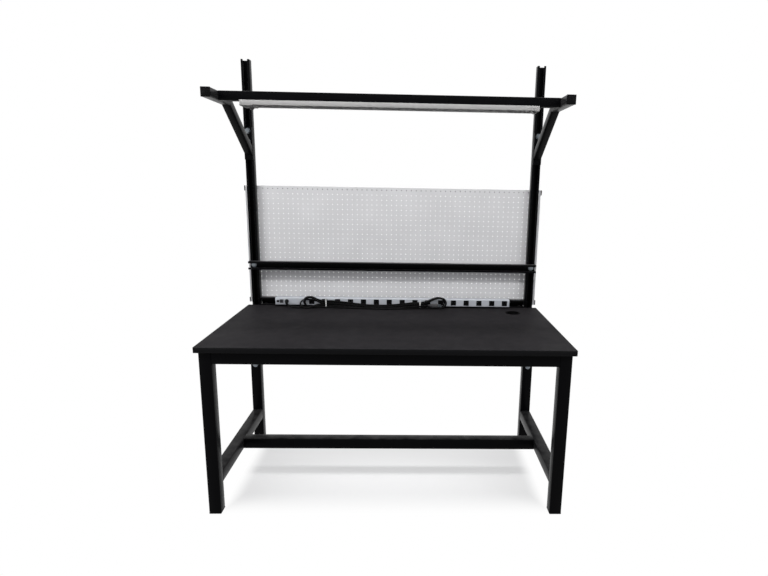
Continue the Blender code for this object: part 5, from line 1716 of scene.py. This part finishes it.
@dataclass
class Studio:
    """Floor, backdrop, lamps and the camera at the photograph's angle."""

    camera_place: Point = (0.0875, -2.4861, 1.3923)
    camera_turn: float = 0.028
    camera_dip: float = 0.21
    camera_roll: float = 0.0176
    focal_pixels: float = 546.89
    centre_pixels: tuple[float, float] = (424.78, 297.02)
    sensor_width: float = 36.0
    floor_size: float = 30.0
    floor_drop: float = 0.0005
    floor_tone: float = 0.28
    floor_lift: float = 0.5
    shade_middle: tuple[float, float] = (0.0, -0.02)
    shade_across: tuple[float, float] = (0.63, 0.71)
    shade_deep: tuple[float, float] = (0.2, 0.388)
    world_light: float = 0.36
    world_tint: Colour = (0.88, 0.9, 1.0)

    def build(self) -> None:
        """Builds the studio round the bench."""
        self.camera()
        self.world()
        self.floor()
        for softbox in self.softboxes():
            self.lamp(softbox)
        bpy.context.scene.view_settings.view_transform = "Standard"

    def camera(self) -> None:
        """Places the camera where the photograph was taken from."""
        turn, dip, roll = self.camera_turn, self.camera_dip, self.camera_roll
        right = Vector((math.cos(turn), -math.sin(turn), 0))
        ahead = Vector(
            (math.sin(turn) * math.cos(dip), math.cos(turn) * math.cos(dip), -math.sin(dip))
        )
        up = right.cross(ahead)
        tilted_right = right * math.cos(roll) + up * math.sin(roll)
        tilted_up = up * math.cos(roll) - right * math.sin(roll)
        data = bpy.data.cameras.new("camera")
        data.sensor_fit = "HORIZONTAL"
        data.sensor_width = self.sensor_width
        data.lens = self.focal_pixels / IMAGE_WIDTH * data.sensor_width
        data.shift_x = 0.5 - self.centre_pixels[0] / IMAGE_WIDTH
        data.shift_y = (self.centre_pixels[1] - IMAGE_HEIGHT / 2) / IMAGE_WIDTH
        camera = bpy.data.objects.new("camera", data)
        bpy.context.scene.collection.objects.link(camera)
        axes = Matrix((tilted_right, tilted_up, -ahead)).transposed()
        camera.matrix_world = Matrix.Translation(self.camera_place) @ axes.to_4x4()
        bpy.context.scene.camera = camera

    def seen(self, wiring: Wiring) -> bpy.types.NodeSocket:
        """Asks whether the camera sees a point, by itself or in metal or glass.

        Args:
            wiring: the nodes that ask.

        Returns:
            An output that is 1 for such rays and 0 for the rest.
        """
        path = wiring.node("ShaderNodeLightPath").outputs
        direct = wiring.maths("MAXIMUM", path["Is Camera Ray"], path["Is Glossy Ray"])
        return wiring.maths("MAXIMUM", direct, path["Is Transmission Ray"])

    def world(self) -> None:
        """A white backdrop for the camera and its reflections, and a soft light for the rest."""
        world = bpy.data.worlds.new("studio")
        bpy.context.scene.world = world
        world.use_nodes = True
        world.node_tree.nodes.clear()
        wiring = Wiring(world.node_tree)
        tinted_light = {"Color": self.world_tint, "Strength": self.world_light}
        light = wiring.node("ShaderNodeBackground", tinted_light).outputs[0]
        white = wiring.node("ShaderNodeBackground", {"Color": (1, 1, 1)}).outputs[0]
        mix = wiring.node("ShaderNodeMixShader", {0: self.seen(wiring), 1: light, 2: white})
        wiring.node("ShaderNodeOutputWorld", {0: mix.outputs[0]})

    def floor(self) -> None:
        """A pale floor that keeps the bench's shadow and fades to the white backdrop."""
        clear_selection()
        bpy.ops.mesh.primitive_grid_add(
            x_subdivisions=4, y_subdivisions=4, size=self.floor_size,
            location=(0, 0, -self.floor_drop),
        )
        floor = active()
        floor.name = "floor"
        material = bpy.data.materials.new("floor")
        material.use_nodes = True
        material.node_tree.nodes.clear()
        wiring = Wiring(material.node_tree)
        away = self.away(wiring)
        tone = wiring.ramp(away, 0.0, 1.0, self.floor_tone, 0.0, "SMOOTHSTEP")
        lift = wiring.ramp(away, 0.0, 1.0, self.floor_lift, 1.0, "SMOOTHSTEP")
        shown = wiring.maths("MULTIPLY", self.seen(wiring), lift)
        diffuse = wiring.node("ShaderNodeBsdfDiffuse", {"Color": tone}).outputs[0]
        glow = wiring.node("ShaderNodeEmission", {"Strength": shown}).outputs[0]
        both = wiring.node("ShaderNodeAddShader", {0: diffuse, 1: glow}).outputs[0]
        wiring.node("ShaderNodeOutputMaterial", {0: both})
        floor.data.materials.append(material)

    def away(self, wiring: Wiring) -> bpy.types.NodeSocket:
        """How far a point of the floor is into the fade of the shade, along either axis.

        Args:
            wiring: the floor's nodes.

        Returns:
            The share's output: 0 where the fade starts and 1 where it ends.
        """
        place = wiring.node("ShaderNodeTexCoord").outputs["Object"]
        moved = {"Vector": place, "Location": (*(-part for part in self.shade_middle), 0)}
        from_middle = wiring.node("ShaderNodeMapping", moved).outputs["Vector"]
        whole = wiring.node("ShaderNodeVectorMath", {0: from_middle}, operation="ABSOLUTE")
        parts = wiring.node("ShaderNodeSeparateXYZ", {0: whole.outputs["Vector"]}).outputs
        across = wiring.ramp(parts["X"], *self.shade_across)
        deep = wiring.ramp(parts["Y"], *self.shade_deep)
        return wiring.maths("MAXIMUM", across, deep)

    def softboxes(self) -> list[Softbox]:
        """The lamps: a long tube overhead in front, weak fills round it and a faint one beneath."""
        return [
            Softbox("tube", (-0.2, -1.2, 2.2), (0.0, 0.39, 1.0), (4.8, 0.14), 39.0, False),
            Softbox("ceiling", (0.0, -0.15, 4.0), (0.0, -0.1, 0.0), (2.4, 0.4), 80.0, False),
            Softbox("fill_left", (-3.0, -2.6, 2.2), (0.0, 0.0, 1.0), (1.4, 1.4), 27.0),
            Softbox("fill_right", (3.2, -2.4, 2.2), (0.0, 0.0, 1.0), (1.4, 1.4), 23.0),
            Softbox("rear", (0.6, 3.4, 2.6), (0.0, 0.2, 1.0), (3.0, 2.0), 30.0, False),
            Softbox("under", (0.0, -0.03, 0.6), (0.0, -0.03, 0.0), (1.15, 0.08), 4.7, False),
        ]

    def lamp(self, softbox: Softbox) -> None:
        """Places one lamp.

        Args:
            softbox: its place, target, size and power.
        """
        data = bpy.data.lights.new(softbox.name, "AREA")
        data.shape = "RECTANGLE"
        data.size, data.size_y = softbox.size
        data.energy = softbox.power
        lamp = bpy.data.objects.new(softbox.name, data)
        bpy.context.scene.collection.objects.link(lamp)
        lamp.location = softbox.place
        way = Vector(softbox.target) - Vector(softbox.place)
        lamp.rotation_euler = way.to_track_quat("-Z", "Y").to_euler()
        lamp.visible_camera = False
        lamp.visible_glossy = softbox.shows


# The bench


def main() -> None:
    """Builds the studio, then every piece, and reports each through the log."""
    logging.basicConfig(level=logging.INFO, format="%(message)s")
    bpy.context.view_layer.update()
    Studio().build()
    book = FinishBook()
    built = PowerCord(book).build()
    built.append(Pegboard(book).build())
    built += WeldSeams(book).build()
    stood_for = {name for piece in built for name in piece.get("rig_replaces", [])}
    built += CarriedNodes(book, stood_for).build()
    for piece in built:
        LOG.info("built %s", piece.name)


if __name__ == "__main__":
    main()
